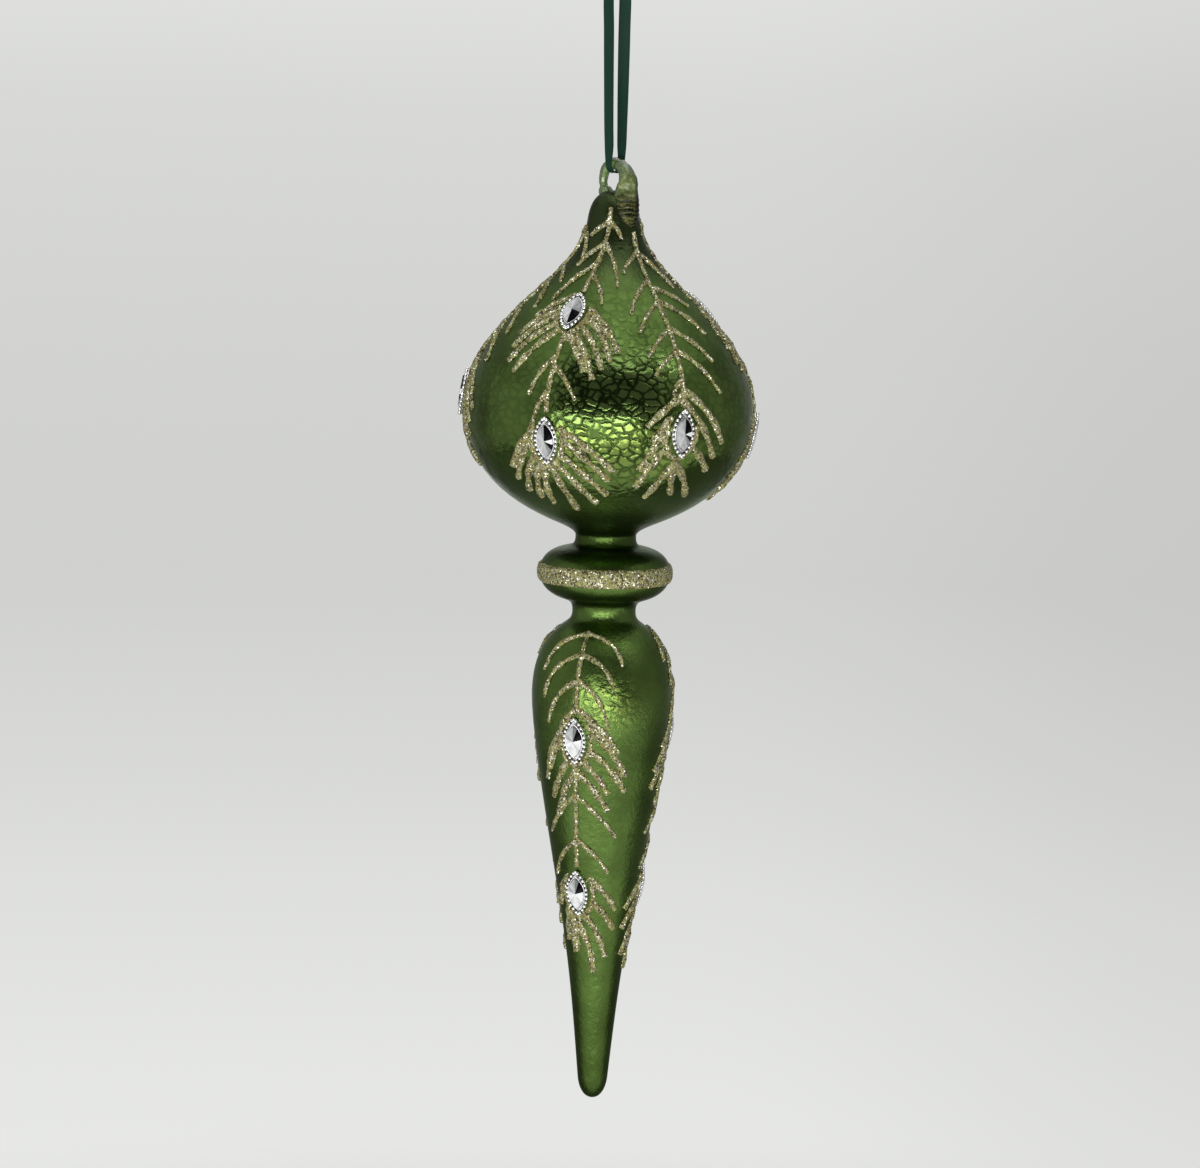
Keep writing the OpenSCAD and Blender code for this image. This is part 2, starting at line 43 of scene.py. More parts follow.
# Sizes in millimetres, as in the part's source
drop_w, drop_h, tip_w = 38.2, 112.6, 8.2
low_neck_w, shoulder_h = 17.2, 22.8
collar_w, collar_h, high_neck_w = 35.4, 20.6, 16.4
bulb_w, bulb_low_h, bulb_high_h = 77.8, 34, 51
stem_w, stem_h = 14, 8
root_d, bar_d, end_d, eye_r, bar_rise, hook_turn = 7.2, 3.4, 2.2, 4.4, 7.1, 45
ribbon_w, ribbon_t, ribbon_gap, loop_h = 3.2, 0.4, 0.5, 51
knot_w, tail_l = 5.4, 9
line_w, line_gap = 1.6, 0.3
band_h, band_t = 5.2, 0.6
gem_l, gem_w, gem_h, side_beads = 13.4, 7.0, 1.0, 11
rim, glue, seat_gap = 1.15, 0.1, 0.05
stone_l, stone_w = gem_l - 4 * rim, gem_w - 2 * rim
recess = 0.55 * gem_h

# Heights above the tip
low_neck_z = drop_h + shoulder_h
collar_z = low_neck_z + 0.515 * collar_h
high_neck_z = low_neck_z + collar_h
bulb_z = high_neck_z + bulb_low_h
stem_z = bulb_z + bulb_high_h
crown_z = stem_z + stem_h
bar_z = crown_z + bar_rise
knot_z = bar_z + loop_h
knot_h = 0.85 * knot_w
origin_z = knot_z - knot_h / 2


def mix(a, b, t):
    return a + (b - a) * t


bar_angle = radians(hook_turn)
along_bar = Vector((cos(bar_angle), -sin(bar_angle), 0))
across_bar = Vector((sin(bar_angle), cos(bar_angle), 0))


def frame_z(height):
    """A height in millimetres above the tip, as metres in the shared frame."""
    return (height - origin_z) * MM


def in_frame(x, y, z):
    """A point given in millimetres above the tip, as metres in the shared frame."""
    return Vector((x * MM, y * MM, frame_z(z)))


# Glass outline from the tip up: radius, height, lean from upright, reach of that lean before and after
tip_r, drop_r, low_neck_r = tip_w / 2, drop_w / 2, low_neck_w / 2
collar_r, high_neck_r, bulb_r, stem_r = collar_w / 2, high_neck_w / 2, bulb_w / 2, stem_w / 2
drop_lean = degrees(atan(1.15 * (drop_r - tip_r) / drop_h))
stops = [
    (0, 0, 90, 0, 0.6 * tip_r),
    (tip_r, 1.45 * tip_r, 5.5, 0.78 * tip_r, 0.13 * drop_h),
    (mix(tip_r, drop_r, 0.3), 0.4 * drop_h, drop_lean, 0.13 * drop_h, 0.15 * drop_h),
    (drop_r, drop_h, 0, 0.11 * drop_h, 0.35 * shoulder_h),
    (mix(low_neck_r, drop_r, 0.36), drop_h + 0.79 * shoulder_h, -47, 0.27 * shoulder_h, 0.14 * shoulder_h),
    (low_neck_r, low_neck_z, 0, 0.12 * shoulder_h, 0.11 * collar_h),
    (mix(low_neck_r, collar_r, 0.34), low_neck_z + 0.17 * collar_h, 72, 0.12 * collar_h, 0.19 * collar_h),
    (collar_r, collar_z, 0, 0.18 * collar_h, 0.18 * collar_h),
    (mix(high_neck_r, collar_r, 0.36), low_neck_z + 0.84 * collar_h, -76, 0.19 * collar_h, 0.13 * collar_h),
    (high_neck_r, high_neck_z, 0, 0.14 * collar_h, 0.05 * bulb_low_h),
    (
        mix(high_neck_r, bulb_r, 0.26), high_neck_z + 0.14 * bulb_low_h, 66,
        0.1 * bulb_low_h, 0.34 * bulb_low_h,
    ),
    (bulb_r, bulb_z, 0, 0.48 * bulb_low_h, 0.24 * bulb_high_h),
    (mix(stem_r, bulb_r, 0.44), bulb_z + 0.6 * bulb_high_h, -47, 0.25 * bulb_high_h, 0.2 * bulb_high_h),
    (stem_r, stem_z, -7, 0.16 * bulb_high_h, 0.4 * stem_h),
    (0, crown_z, -90, 0.78 * stem_r, 0),
]


def handles(stop):
    """The outline's stop as a point with the ends of its two handles."""
    r, z, angle, before, after = stop
    lean = Vector((sin(radians(angle)), cos(radians(angle))))
    place = Vector((r, z))
    return place - before * lean, place, place + after * lean


def outline_points(steps):
    """Points along the glass outline, as radius and height in millimetres."""
    points = []
    for a, b in zip(stops, stops[1:]):
        p, q = handles(a)[1:]
        s, e = handles(b)[:2]
        for k in range(steps):
            t = k / steps
            points.append((1 - t) ** 3 * p + 3 * t * (1 - t) ** 2 * q + 3 * t * t * (1 - t) * s + t**3 * e)
    return points + [Vector((0, crown_z))]


outline = outline_points(24)
runs = [0.0]
turns = [0.0]
for here, there in zip(outline, outline[1:]):
    step = (there - here).length
    runs.append(runs[-1] + step)
    turns.append(turns[-1] + degrees(step / max(here.x, 1)))


def along(values, run):
    """The value that belongs to a length along the outline."""
    low, high = 0, len(runs) - 1
    while high - low > 1:
        middle = (low + high) // 2
        low, high = (middle, high) if runs[middle] <= run else (low, middle)
    t = (run - runs[low]) / (runs[high] - runs[low])
    return mix(values[low], values[high], min(max(t, 0), 1))


def run_to(height):
    """The length along the outline at a height above the tip."""
    for k in range(len(outline) - 1):
        if outline[k].y <= height <= outline[k + 1].y:
            t = (height - outline[k].y) / max(outline[k + 1].y - outline[k].y, 1e-9)
            return mix(runs[k], runs[k + 1], t)
    return runs[-1]


def glass_at(run):
    return along(outline, run)


def rising(run):
    return (glass_at(run + 0.7) - glass_at(run - 0.7)).normalized()


def line_turn(line, run):
    """The angle of a feather's middle line, which leans and bows as it climbs the glass."""
    angle, lean, low, bow, top = line
    sweep = pi * min(max((run - low) / (top - low), 0), 1)
    lean_angle = lean * (along(turns, run) - along(turns, low))
    return angle + lean_angle + degrees(bow * sin(sweep) / glass_at(run).x)


def on_glass(across, run, line, up):
    """A point on the glass, sideways from a feather's line, along the outline, and over the surface."""
    p, d = glass_at(run), rising(run)
    r = p.x + up * d.y
    a = radians(line_turn(line, run) + degrees(across / p.x))
    return in_frame(r * sin(a), -r * cos(a), p.y - up * d.x)


def deselect():
    """Leaves nothing selected, in object mode."""
    if bpy.context.object and bpy.context.object.mode != "OBJECT":
        bpy.ops.object.mode_set(mode="OBJECT")
    bpy.ops.object.select_all(action="DESELECT")


def pick(piece):
    deselect()
    piece.select_set(True)
    bpy.context.view_layer.objects.active = piece


def named(name):
    """Names the piece that was just added."""
    piece = bpy.context.object
    piece.name = name
    piece.data.name = name
    return piece


def add_object(name, data):
    thing = bpy.data.objects.new(name, data)
    bpy.context.scene.collection.objects.link(thing)
    return thing


def select_mesh():
    bpy.ops.mesh.select_all(action="SELECT")


def apply_modifiers(piece):
    pick(piece)
    for modifier in list(piece.modifiers):
        bpy.ops.object.modifier_apply(modifier=modifier.name)


def normals_outward(piece):
    pick(piece)
    bpy.ops.object.mode_set(mode="EDIT")
    select_mesh()
    bpy.ops.mesh.normals_make_consistent(inside=False)
    bpy.ops.object.mode_set(mode="OBJECT")


def new_curve(name):
    """Adds a curve that has no lines yet."""
    deselect()
    bpy.ops.curve.primitive_bezier_curve_add(radius=0.01)
    curve = named(name)
    curve.data.splines.clear()
    return curve


def add_remesh(piece, voxel):
    """Gives a piece one even skin, with its grid in millimetres."""
    remesh = piece.modifiers.new("remesh", "REMESH")
    remesh.mode = "VOXEL"
    remesh.voxel_size = voxel * MM


def add_lumps(piece, size, depth, detail):
    """Moves a piece's skin in and out by soft lumps, with their size and depth in millimetres."""
    lumps = piece.modifiers.new("lumps", "DISPLACE")
    lumps.texture = bpy.data.textures.new("lumps", "CLOUDS")
    lumps.texture.noise_scale = size * MM
    lumps.texture.noise_depth = detail
    lumps.strength = depth * MM


def add_smooth(piece, times):
    piece.modifiers.new("smooth", "SMOOTH").iterations = times


def between(p, q, r, s, t):
    """A number on the smooth way from q to r, which heeds the numbers before and after them."""
    bend = 2 * p - 5 * q + 4 * r - s
    twist = 3 * q - p - 3 * r + s
    return 0.5 * (2 * q + (r - p) * t + bend * t * t + twist * t**3)


def smooth_line(points, steps):
    """A smooth line through rows of numbers, each row a place with its sizes."""
    last = len(points) - 1
    line = []
    for i in range(last):
        a, b, c, d = points[max(i - 1, 0)], points[i], points[i + 1], points[min(i + 2, last)]
        for k in range(steps):
            line.append([between(*values, k / steps) for values in zip(a, b, c, d)])
    return line + [list(points[last])]


def placed(side, up, face, spot):
    """The place of a thing at a spot, turned to three directions of its own."""
    return Matrix.Translation(spot) @ Matrix((side, up, face)).transposed().to_4x4()


# Camera: the photograph's frame, seen from the front and a little above, rolled by the lean of the picture
aim = in_frame(-1.25, 0, 142.6)
view_drop, view_roll = radians(7.5), radians(1.41)
view_distance, pixel = 1.1, 0.2711 * MM
sensor_w, photo_w_px = 36, 1200
back = Vector((0, -cos(view_drop), sin(view_drop)))
level = Vector((1, 0, 0))
upright = back.cross(level)
right = cos(view_roll) * level + sin(view_roll) * upright
above = cos(view_roll) * upright - sin(view_roll) * level
eye = aim + view_distance * back
camera_data = bpy.data.cameras.new("camera")
camera_data.sensor_width = sensor_w
camera_data.sensor_fit = "HORIZONTAL"
camera_data.lens = sensor_w * (view_distance / pixel) / photo_w_px
camera = add_object("camera", camera_data)
camera.matrix_world = placed(right, above, back, eye)
bpy.context.scene.camera = camera
bpy.context.scene.view_settings.view_transform = "Standard"


# Materials

class Value:
    """A node's output, which takes part in sums."""

    def __init__(self, finish, node, output):
        self.finish = finish
        self.node = node
        self.socket = node.outputs[output]

    def out(self, output):
        return Value(self.finish, self.node, output)

    def maths(self, operation, a, b=0.0):
        return self.finish.add("Math", {"operation": operation}, {0: a, 1: b})

    def __add__(self, other):
        return self.maths("ADD", self, other)

    def __radd__(self, other):
        return self.maths("ADD", other, self)

    def __sub__(self, other):
        return self.maths("SUBTRACT", self, other)

    def __rsub__(self, other):
        return self.maths("SUBTRACT", other, self)

    def __mul__(self, other):
        return self.maths("MULTIPLY", self, other)

    def __rmul__(self, other):
        return self.maths("MULTIPLY", other, self)

    def __abs__(self):
        return self.maths("ABSOLUTE", self)

    def sine(self):
        return self.maths("SINE", self)

    def cosine(self):
        return self.maths("COSINE", self)

    def angle_from(self, other):
        return self.maths("ARCTAN2", self, other)


class Finish:
    """A material or the world, and the nodes added to it."""

    def __init__(self, owner):
        self.owner = owner
        owner.use_nodes = True
        self.tree = owner.node_tree
        self.tree.nodes.clear()

    def add(self, kind, settings=None, sockets=None, output=0):
        """Adds a node, with its sockets filled by numbers or linked to other nodes."""
        node = self.tree.nodes.new("ShaderNode" + kind)
        for name, value in (settings or {}).items():
            if name == "stops":
                self.set_stops(node.color_ramp, value)
            else:
                setattr(node, name, value)
        for name, value in (sockets or {}).items():
            socket = node.inputs[name]
            if isinstance(value, Value):
                self.tree.links.new(value.socket, socket)
            else:
                socket.default_value = value
        return Value(self, node, output) if node.outputs else node

    def set_stops(self, ramp, stops):
        while len(ramp.elements) < len(stops):
            ramp.elements.new(0.5)
        for element, (position, colour) in zip(ramp.elements, stops):
            element.position = position
            element.color = colour

    def place(self):
        return self.add("TexCoord", output="Object")

    def split(self, place):
        return self.add("SeparateXYZ", None, {0: place}, "X")

    def attribute(self, name):
        return self.add("Attribute", {"attribute_name": name}, output="Fac")

    def vectors(self, operation, a, b=(0, 0, 0), output=0):
        return self.add("VectorMath", {"operation": operation}, {0: a, 1: b}, output)

    def scaled(self, place, scale):
        return self.vectors("MULTIPLY", place, scale)

    def noise(self, place, scale, detail=2, roughness=0.5, output="Fac"):
        sockets = {"Vector": place, "Scale": scale, "Detail": detail, "Roughness": roughness}
        return self.add("TexNoise", None, sockets, output)

    def cells(self, place, scale, feature="F1", output="Distance"):
        sockets = {"Vector": place, "Scale": scale}
        return self.add("TexVoronoi", {"feature": feature}, sockets, output)

    def blend(self, factor, a, b):
        return self.add("Mix", {"data_type": "RGBA"}, {0: factor, 6: a, 7: b}, 2)

    def step(self, value, low, high, how="SMOOTHSTEP"):
        return self.add("MapRange", {"interpolation_type": how}, {0: value, 1: low, 2: high})

    def rise(self, height, low, high):
        """From 0 at one height to 1 at another, both in millimetres above the tip."""
        return self.step(height, frame_z(low), frame_z(high))

    def zone(self, height, start, full, fading, end):
        """From 0 at a start up to a full 1, and down from where it is fading to its end."""
        return self.rise(height, start, full) * self.rise(height, end, fading)

    def ramp(self, value, stops):
        return self.add("ValToRGB", {"stops": stops}, {0: value}, "Color")

    def bump(self, height, strength, distance, normal=None):
        sockets = {"Height": height, "Strength": strength, "Distance": distance}
        if normal is not None:
            sockets["Normal"] = normal
        return self.add("Bump", None, sockets)

    def tilted(self, colour, amount):
        """The surface's own normal, tipped a different way in each cell of a random colour."""
        normal = self.add("NewGeometry", output="Normal")
        tip = self.vectors("SUBTRACT", colour, (0.5, 0.5, 0.5))
        tip = self.add("VectorMath", {"operation": "SCALE"}, {0: tip, "Scale": amount})
        return self.vectors("NORMALIZE", self.vectors("ADD", normal, tip))

    def shown(self):
        """1 for what the camera, a reflection or clear glass shows, and 0 for light that falls on things."""
        ray = self.add("LightPath", output="Is Camera Ray")
        return ray + ray.out("Is Glossy Ray") + ray.out("Is Transmission Ray")

    def principled(self, sockets):
        return self.add("BsdfPrincipled", None, sockets)

    def glow(self, colour):
        return self.add("Emission", None, {"Color": colour, "Strength": 1.0})

    def mixed(self, factor, a, b):
        return self.add("MixShader", None, {0: factor, 1: a, 2: b})

    def close(self, shader, kind="OutputMaterial"):
        self.add(kind, None, {"Surface": shader})
        return self.owner

    def surface(self, sockets):
        return self.close(self.principled(sockets))


def new_finish(name):
    return Finish(bpy.data.materials.new(name))


def lacquered_glass():
    """Green lacquer over silver, crackled into low plates in three broad patches round the glass."""
    f = new_finish("lacquered crackle glass")
    place = f.place()
    parts = f.split(place)
    height = parts.out("Z")
    turn = parts.angle_from(0 - parts.out("Y"))
    patch = 0.18 + 0.82 * f.step((3 * turn - 0.13).cosine(), -0.1, 0.75)

    # Where the skin changes by height, and where shade and highlight are painted on it
    tip = f.rise(height, 48, 20)
    slim = f.rise(height, drop_h - 5, drop_h - 14)
    drop = f.zone(height, drop_h - 9, drop_h - 3, drop_h + 4, drop_h + 9)
    shoulder = f.zone(height, drop_h - 8, drop_h - 3, drop_h + 4, drop_h + 9)
    lower_neck = f.step(abs(height - frame_z(low_neck_z + 4)), 4 * MM, 1.5 * MM)
    upper_neck = f.step(abs(height - frame_z(high_neck_z - 1)), 7.5 * MM, 3.5 * MM)
    under = f.zone(height, high_neck_z, high_neck_z + 4, high_neck_z + 9, high_neck_z + 17)
    bulb = f.zone(height, high_neck_z + 9, high_neck_z + 18, stem_z - 30, stem_z - 12)
    waist = f.zone(height, bulb_z - 18, bulb_z - 9, bulb_z + 13, bulb_z + 21)
    lit = waist * f.rise(height, bulb_z + 3, bulb_z - 3)
    rough_top = f.zone(height, bulb_z + 13, bulb_z + 22, bulb_z + 30, bulb_z + 38)
    stem = f.rise(height, stem_z - 20, stem_z - 9)

    # Plates, with a web of gaps between them
    plate_scale = 330
    wander = f.vectors("SUBTRACT", f.noise(place, 420, output="Color"), (0.5, 0.5, 0.5))
    wander = f.scaled(wander, (1.8 * MM, 1.8 * MM, 1.8 * MM))
    spread = f.scaled(f.vectors("ADD", place, wander), (1, 1, 1.4))
    web = f.cells(spread, plate_scale, "DISTANCE_TO_EDGE")
    flake = f.cells(spread, plate_scale, "F1", "Color")
    fine = f.noise(place, 1500, 3, 0.6)
    grain = f.noise(place, 700, 3, 0.65)
    cloud = f.noise(place, 90, 3, 0.55)
    dent = f.noise(place, 150)
    plate = f.step(web + 0.06 * (fine - 0.5), 0.02, 0.25)
    plates, gaps = patch * plate, patch * (1 - plate)

    # Painted highlight: the plates are lighter in the band round the bulb's widest line and on the drop's
    # shoulder; the crackle's dark gaps are its own web
    painted_highlight_green = (0.19, 0.25, 0.056, 1)
    green = f.blend(f.step(cloud, 0.3, 0.7), (0.07, 0.116, 0.027, 1), (0.105, 0.176, 0.041, 1))
    green = f.blend(gaps * (0.10 + 0.2 * rough_top + 0.72 * waist), green, (0.01, 0.018, 0.004, 1))
    green = f.blend(0.6 * lit * plates, green, painted_highlight_green)
    green = f.blend(0.7 * (waist - lit) * plates, green, (0.2, 0.3, 0.09, 1))
    # Painted light: the bulb's underside just above the upper neck is made lighter
    green = f.blend(0.7 * under, green, (0.125, 0.21, 0.058, 1))
    green = f.blend(0.5 * shoulder * plates, green, painted_highlight_green)
    # Painted shade: the upper and lower necks, the tip and the drop below its shoulder are darkened
    dark = 0.58 * upper_neck + 0.55 * lower_neck + 0.36 * tip + 0.14 * slim
    green = f.blend(dark, green, (0.014, 0.026, 0.003, 1))
    green = f.blend(stem, green, (0.038, 0.055, 0.02, 1))

    crackle = (bulb + 0.6 * drop) * patch
    lively = lit + rough_top + shoulder
    relief = crackle * plate * (0.04 * MM + 0.07 * MM * lively)
    relief = relief + (0.18 * MM - 0.13 * MM * bulb) * grain + 0.03 * MM * fine
    relief = relief + 0.45 * MM * bulb * (1.25 - patch) * dent
    normal = f.bump(relief, 1.0, 1.0, f.tilted(flake, 0.02 + crackle * (0.04 + 0.10 * lively)))
    rough = 0.26 - 0.16 * bulb - 0.08 * drop + 0.24 * rough_top + 0.08 * cloud + 0.05 * (fine - 0.5)
    return f.surface({
        "Base Color": green, "Roughness": rough, "Metallic": 0.97, "Normal": normal,
        "Specular Tint": (0.75, 0.78, 0.72, 1),
    })


def champagne_glitter():
    """Glitter: each grain faces its own way and has its own tone, and a few catch the light. Dark grains and
    a dark rim round each grain are painted shade between the grains, and pale grains are painted sparkle as
    well as glossy.
    """
    f = new_finish("champagne glitter")
    dark, bronze = (0.04, 0.03, 0.008, 1), (0.295, 0.24, 0.066, 1)
    gold, pale = (0.41, 0.412, 0.14, 1), (1.0, 0.98, 0.74, 1)
    place = f.place()
    grain_scale = 2200
    grain = f.cells(place, grain_scale, "F1", "Color")
    edge = f.cells(place, grain_scale, "DISTANCE_TO_EDGE")
    tone = f.add("SeparateColor", None, {0: grain}, "Green")
    gloss = tone.out("Blue")
    rust = f.noise(place, 500)
    body = f.blend(f.step(rust, 0.4, 0.7), gold, bronze)
    # Painted shade: dark grains, and a dark rim round every grain, for the shadows between the grains
    colour = f.blend(f.step(tone, 0.05, 0.32), dark, body)
    # Painted sparkle: pale grains, which are also glossy and catch the light
    colour = f.blend(f.step(tone, 0.66, 0.74), colour, pale)
    colour = f.blend(f.step(edge, 0.0, 0.10), dark, colour)
    bright = f.step(tone, 0.60, 0.76)
    return f.surface({
        "Base Color": colour, "Metallic": 0.1 + 0.6 * bright,
        "Roughness": 0.45 - 0.32 * bright + 0.15 * gloss, "Normal": f.tilted(grain, 1.0),
    })


def silver():
    """Bright plated beads and lip over a cup painted black as the shade between the beads."""
    f = new_finish("plated silver and painted shade")
    cloud = f.noise(f.place(), 900, 3, 0.6)
    polish = f.attribute("polish")
    bright = f.ramp(cloud, [(0.3, (0.72, 0.72, 0.71, 1)), (0.65, (0.93, 0.93, 0.92, 1))])
    # Painted shade: where the mark is low the metal is near black, as the shade between the beads
    colour = f.blend(polish, (0.03, 0.03, 0.028, 1), bright)
    return f.surface({
        "Base Color": colour, "Metallic": 1.0, "Roughness": 0.42 - 0.26 * polish + 0.1 * cloud,
        "Normal": f.bump(cloud, 0.08, 0.1 * MM),
    })


def foil_stone():
    """A cut stone on foil, with light and dark reflections painted on its facets."""
    f = new_finish("foiled cut stone")
    cloud = f.noise(f.place(), 900)
    # Painted reflection: each facet's tone from black to white, varied by a soft noise
    tone = f.attribute("facet") * (0.75 + 0.5 * cloud)
    colour = f.ramp(tone, [
        (0.0, (0.004, 0.004, 0.005, 1)), (0.5, (0.36, 0.37, 0.37, 1)), (1.0, (0.95, 0.96, 0.96, 1)),
    ])
    return f.surface({
        "Base Color": colour, "Roughness": 0.10 + 0.08 * cloud, "Specular IOR Level": 0.02,
    })


def hook_glass():
    """Drawn glass: clear green where it is thin, and swirled amber with ripples down its thick leg."""
    f = new_finish("drawn hook glass")
    place = f.place()
    swirl = f.noise(f.scaled(place, (1, 1, 1.5)), 430, 4, 0.62)
    streak = f.noise(f.scaled(place, (1, 1, 0.25)), 600, 3, 0.6)
    parts = f.split(place)
    height = parts.out("Z")
    sideways = f.vectors("DOT_PRODUCT", place, along_bar, "Value")
    thick = f.rise(height, crown_z + 7, crown_z + 3) * f.step(sideways, 0.0, 1.5 * MM)
    low = f.rise(height, crown_z + 2, crown_z - 4)
    ripple = (height * 5200 + 15 * swirl).sine()
    green = f.blend(streak, (0.05, 0.105, 0.02, 1), (0.24, 0.35, 0.12, 1))
    # Painted shade: the thick leg darkens to near black towards its outer edge
    painted_dark_edge = f.step(parts, 5.0 * MM, 6.6 * MM)
    olive = f.ramp(swirl, [
        (0.32, (0.035, 0.052, 0.012, 1)), (0.52, (0.165, 0.205, 0.075, 1)), (0.7, (0.42, 0.47, 0.24, 1)),
    ])
    amber = f.ramp(swirl, [
        (0.38, (0.002, 0.005, 0.001, 1)), (0.52, (0.014, 0.021, 0.004, 1)), (0.68, (0.09, 0.092, 0.028, 1)),
    ])
    amber = f.blend(0.65 * f.step(ripple, 0.5, 1.0), amber, (0.22, 0.2, 0.065, 1))
    amber = f.blend(low, olive, amber)
    amber = f.blend(painted_dark_edge, amber, (0.003, 0.005, 0.002, 1))
    clear = f.principled({
        "Base Color": green, "Roughness": 0.05 + 0.08 * streak, "IOR": 1.5, "Transmission Weight": 0.5,
        "Coat Weight": 0.9, "Coat Roughness": 0.03, "Normal": f.bump(streak, 0.3, 0.3 * MM),
    })
    dark = f.principled({
        "Base Color": amber, "Roughness": 0.12 + 0.12 * swirl, "Specular IOR Level": 0.12,
        "Coat Weight": 0.25 - 0.25 * low, "Coat Roughness": 0.05,
        "Normal": f.bump(swirl + 0.08 * low * ripple, 0.3, 0.5 * MM),
    })
    return f.close(f.mixed(thick, clear, dark))


def satin_ribbon():
    """Dark green satin: fine threads across, and a firmer edge."""
    f = new_finish("green satin ribbon")
    side = f.split(f.add("UVMap", {"uv_map": "weave"}))
    warp = (side * 170).sine()
    weft = (side.out("Y") * 26000).sine()
    threads = 0.5 + 0.25 * warp + 0.25 * weft
    slub = f.noise(f.scaled(f.place(), (1, 1, 0.1)), 1500, 3, 0.6)
    edge = f.step(abs(side - 0.5), 0.40, 0.47)
    colour = f.blend(threads * 0.6 + slub * 0.4, (0.003, 0.021, 0.012, 1), (0.009, 0.05, 0.029, 1))
    colour = f.blend(0.5 * edge, colour, (0.007, 0.03, 0.019, 1))
    return f.surface({
        "Base Color": colour, "Roughness": 0.5 + 0.12 * slub + 0.1 * edge, "Specular IOR Level": 0.15,
        "Sheen Weight": 0.03, "Sheen Roughness": 0.35, "Sheen Tint": (0.3, 0.75, 0.5, 1),
        "Anisotropic": 0.4, "Normal": f.bump(threads + 0.5 * slub, 0.25, 0.06 * MM),
    })


# Ribbon and knot

bend_r = bar_d / 2 + ribbon_gap + ribbon_t / 2
bend_w = 0.66 * ribbon_w
bar_turn, knot_turn = -hook_turn, -20


def strand(side, away, drift, twist):
    """Stations up a strand: place along and across the bar, height over it, width, turn."""
    knot_top = loop_h + 0.5 * knot_h
    stations = [
        (0, side * bend_r, 2, mix(bend_w, ribbon_w, 0.5), bar_turn),
        (0, side * bend_r, 5, mix(bend_w, ribbon_w, 0.95), mix(bar_turn, twist, 0.05)),
    ]
    climb = ((0.2, 10, 0.15), (0.4, 0.35 * loop_h, 0.4), (0.6, 0.52 * loop_h, 0.7), (0.8, 0.7 * loop_h, 1))
    for part, height, turned in climb:
        out = side * mix(bend_r, away, part)
        stations.append((part * drift, out, height, ribbon_w, mix(bar_turn, twist, turned)))
    return stations + [
        (drift, side * away, loop_h - 6.5, ribbon_w, twist),
        (0.5 * drift, side * 0.55 * away, loop_h - 3.6, 0.85 * ribbon_w, mix(twist, knot_turn, 0.6)),
        (0, side * 0.5, loop_h - 1.6, 0.65 * ribbon_w, knot_turn),
        (0, side * 0.5, loop_h + 1.6, 0.65 * ribbon_w, knot_turn),
        (0, side * 0.9, knot_top + 1.2, 0.85 * ribbon_w, knot_turn),
        (side * 0.5, side * 2.2, knot_top + 0.5 * tail_l, ribbon_w, knot_turn),
        (side * 1, side * 4, knot_top + tail_l - 0.05, ribbon_w, knot_turn),
    ]


def ribbon_stations():
    front = strand(-1, 3, -0.8, -35)
    bend = []
    for k in range(9):
        a = radians(180 + 22.5 * k)
        bend.append((0, bend_r * cos(a), bend_r * sin(a), bend_w, bar_turn))
    stations = front[::-1] + bend + strand(1, 2.6, -0.3, 0)
    rows = []
    for sideways, out, height, width, turn in stations:
        spot = sideways * along_bar + out * across_bar
        rows.append((spot.x, spot.y, bar_z + height, width, turn))
    return smooth_line(rows, 5)


def add_weave(mesh, spots):
    """Maps ribbon by a spot for each vertex: the place across it, and the length along it."""
    weave = mesh.uv_layers.new(name="weave")
    for loop in mesh.loops:
        weave.data[loop.index].uv = spots[loop.vertex_index]


def ribbon_mesh(name, rows):
    """A flat ribbon through stations, with firmer edges and a map of its length and width."""
    section = [
        (-0.5, 0.0), (-0.485, 0.42), (-0.44, 0.5), (-0.38, 0.36), (-0.2, 0.34), (0, 0.36),
        (0.2, 0.34), (0.38, 0.36), (0.44, 0.5), (0.485, 0.42), (0.5, 0.0),
    ]
    section += [(x, -y) for x, y in section[-2:0:-1]]
    places = [in_frame(*row[:3]) for row in rows]
    points, faces, length = [], [], [0.0]
    for i, row in enumerate(rows):
        onward = (places[min(i + 1, len(rows) - 1)] - places[max(i - 1, 0)]).normalized()
        flat = Vector((cos(radians(row[4])), sin(radians(row[4])), 0))
        face = onward.cross(flat).normalized()
        wide = face.cross(onward)
        points += [places[i] + (x * row[3] * wide + y * ribbon_t * face) * MM for x, y in section]
        if i:
            length.append(length[-1] + (places[i] - places[i - 1]).length)
    n = len(section)
    for i in range(len(rows) - 1):
        for k in range(n):
            faces.append((i * n + k, i * n + (k + 1) % n, (i + 1) * n + (k + 1) % n, (i + 1) * n + k))
    faces.append(tuple(range(n))[::-1])
    faces.append(tuple((len(rows) - 1) * n + k for k in range(n)))
    mesh = bpy.data.meshes.new(name)
    mesh.from_pydata(points, [], faces)
    add_weave(mesh, [(x + 0.5, at) for at in length for x, y in section])
    return add_object(name, mesh), places, length[-1]


satin = satin_ribbon()
ribbon, ribbon_path, ribbon_length = ribbon_mesh("satin_ribbon", ribbon_stations())
normals_outward(ribbon)
bpy.ops.object.shade_smooth_by_angle(angle=radians(50))
ribbon.data.materials.append(satin)


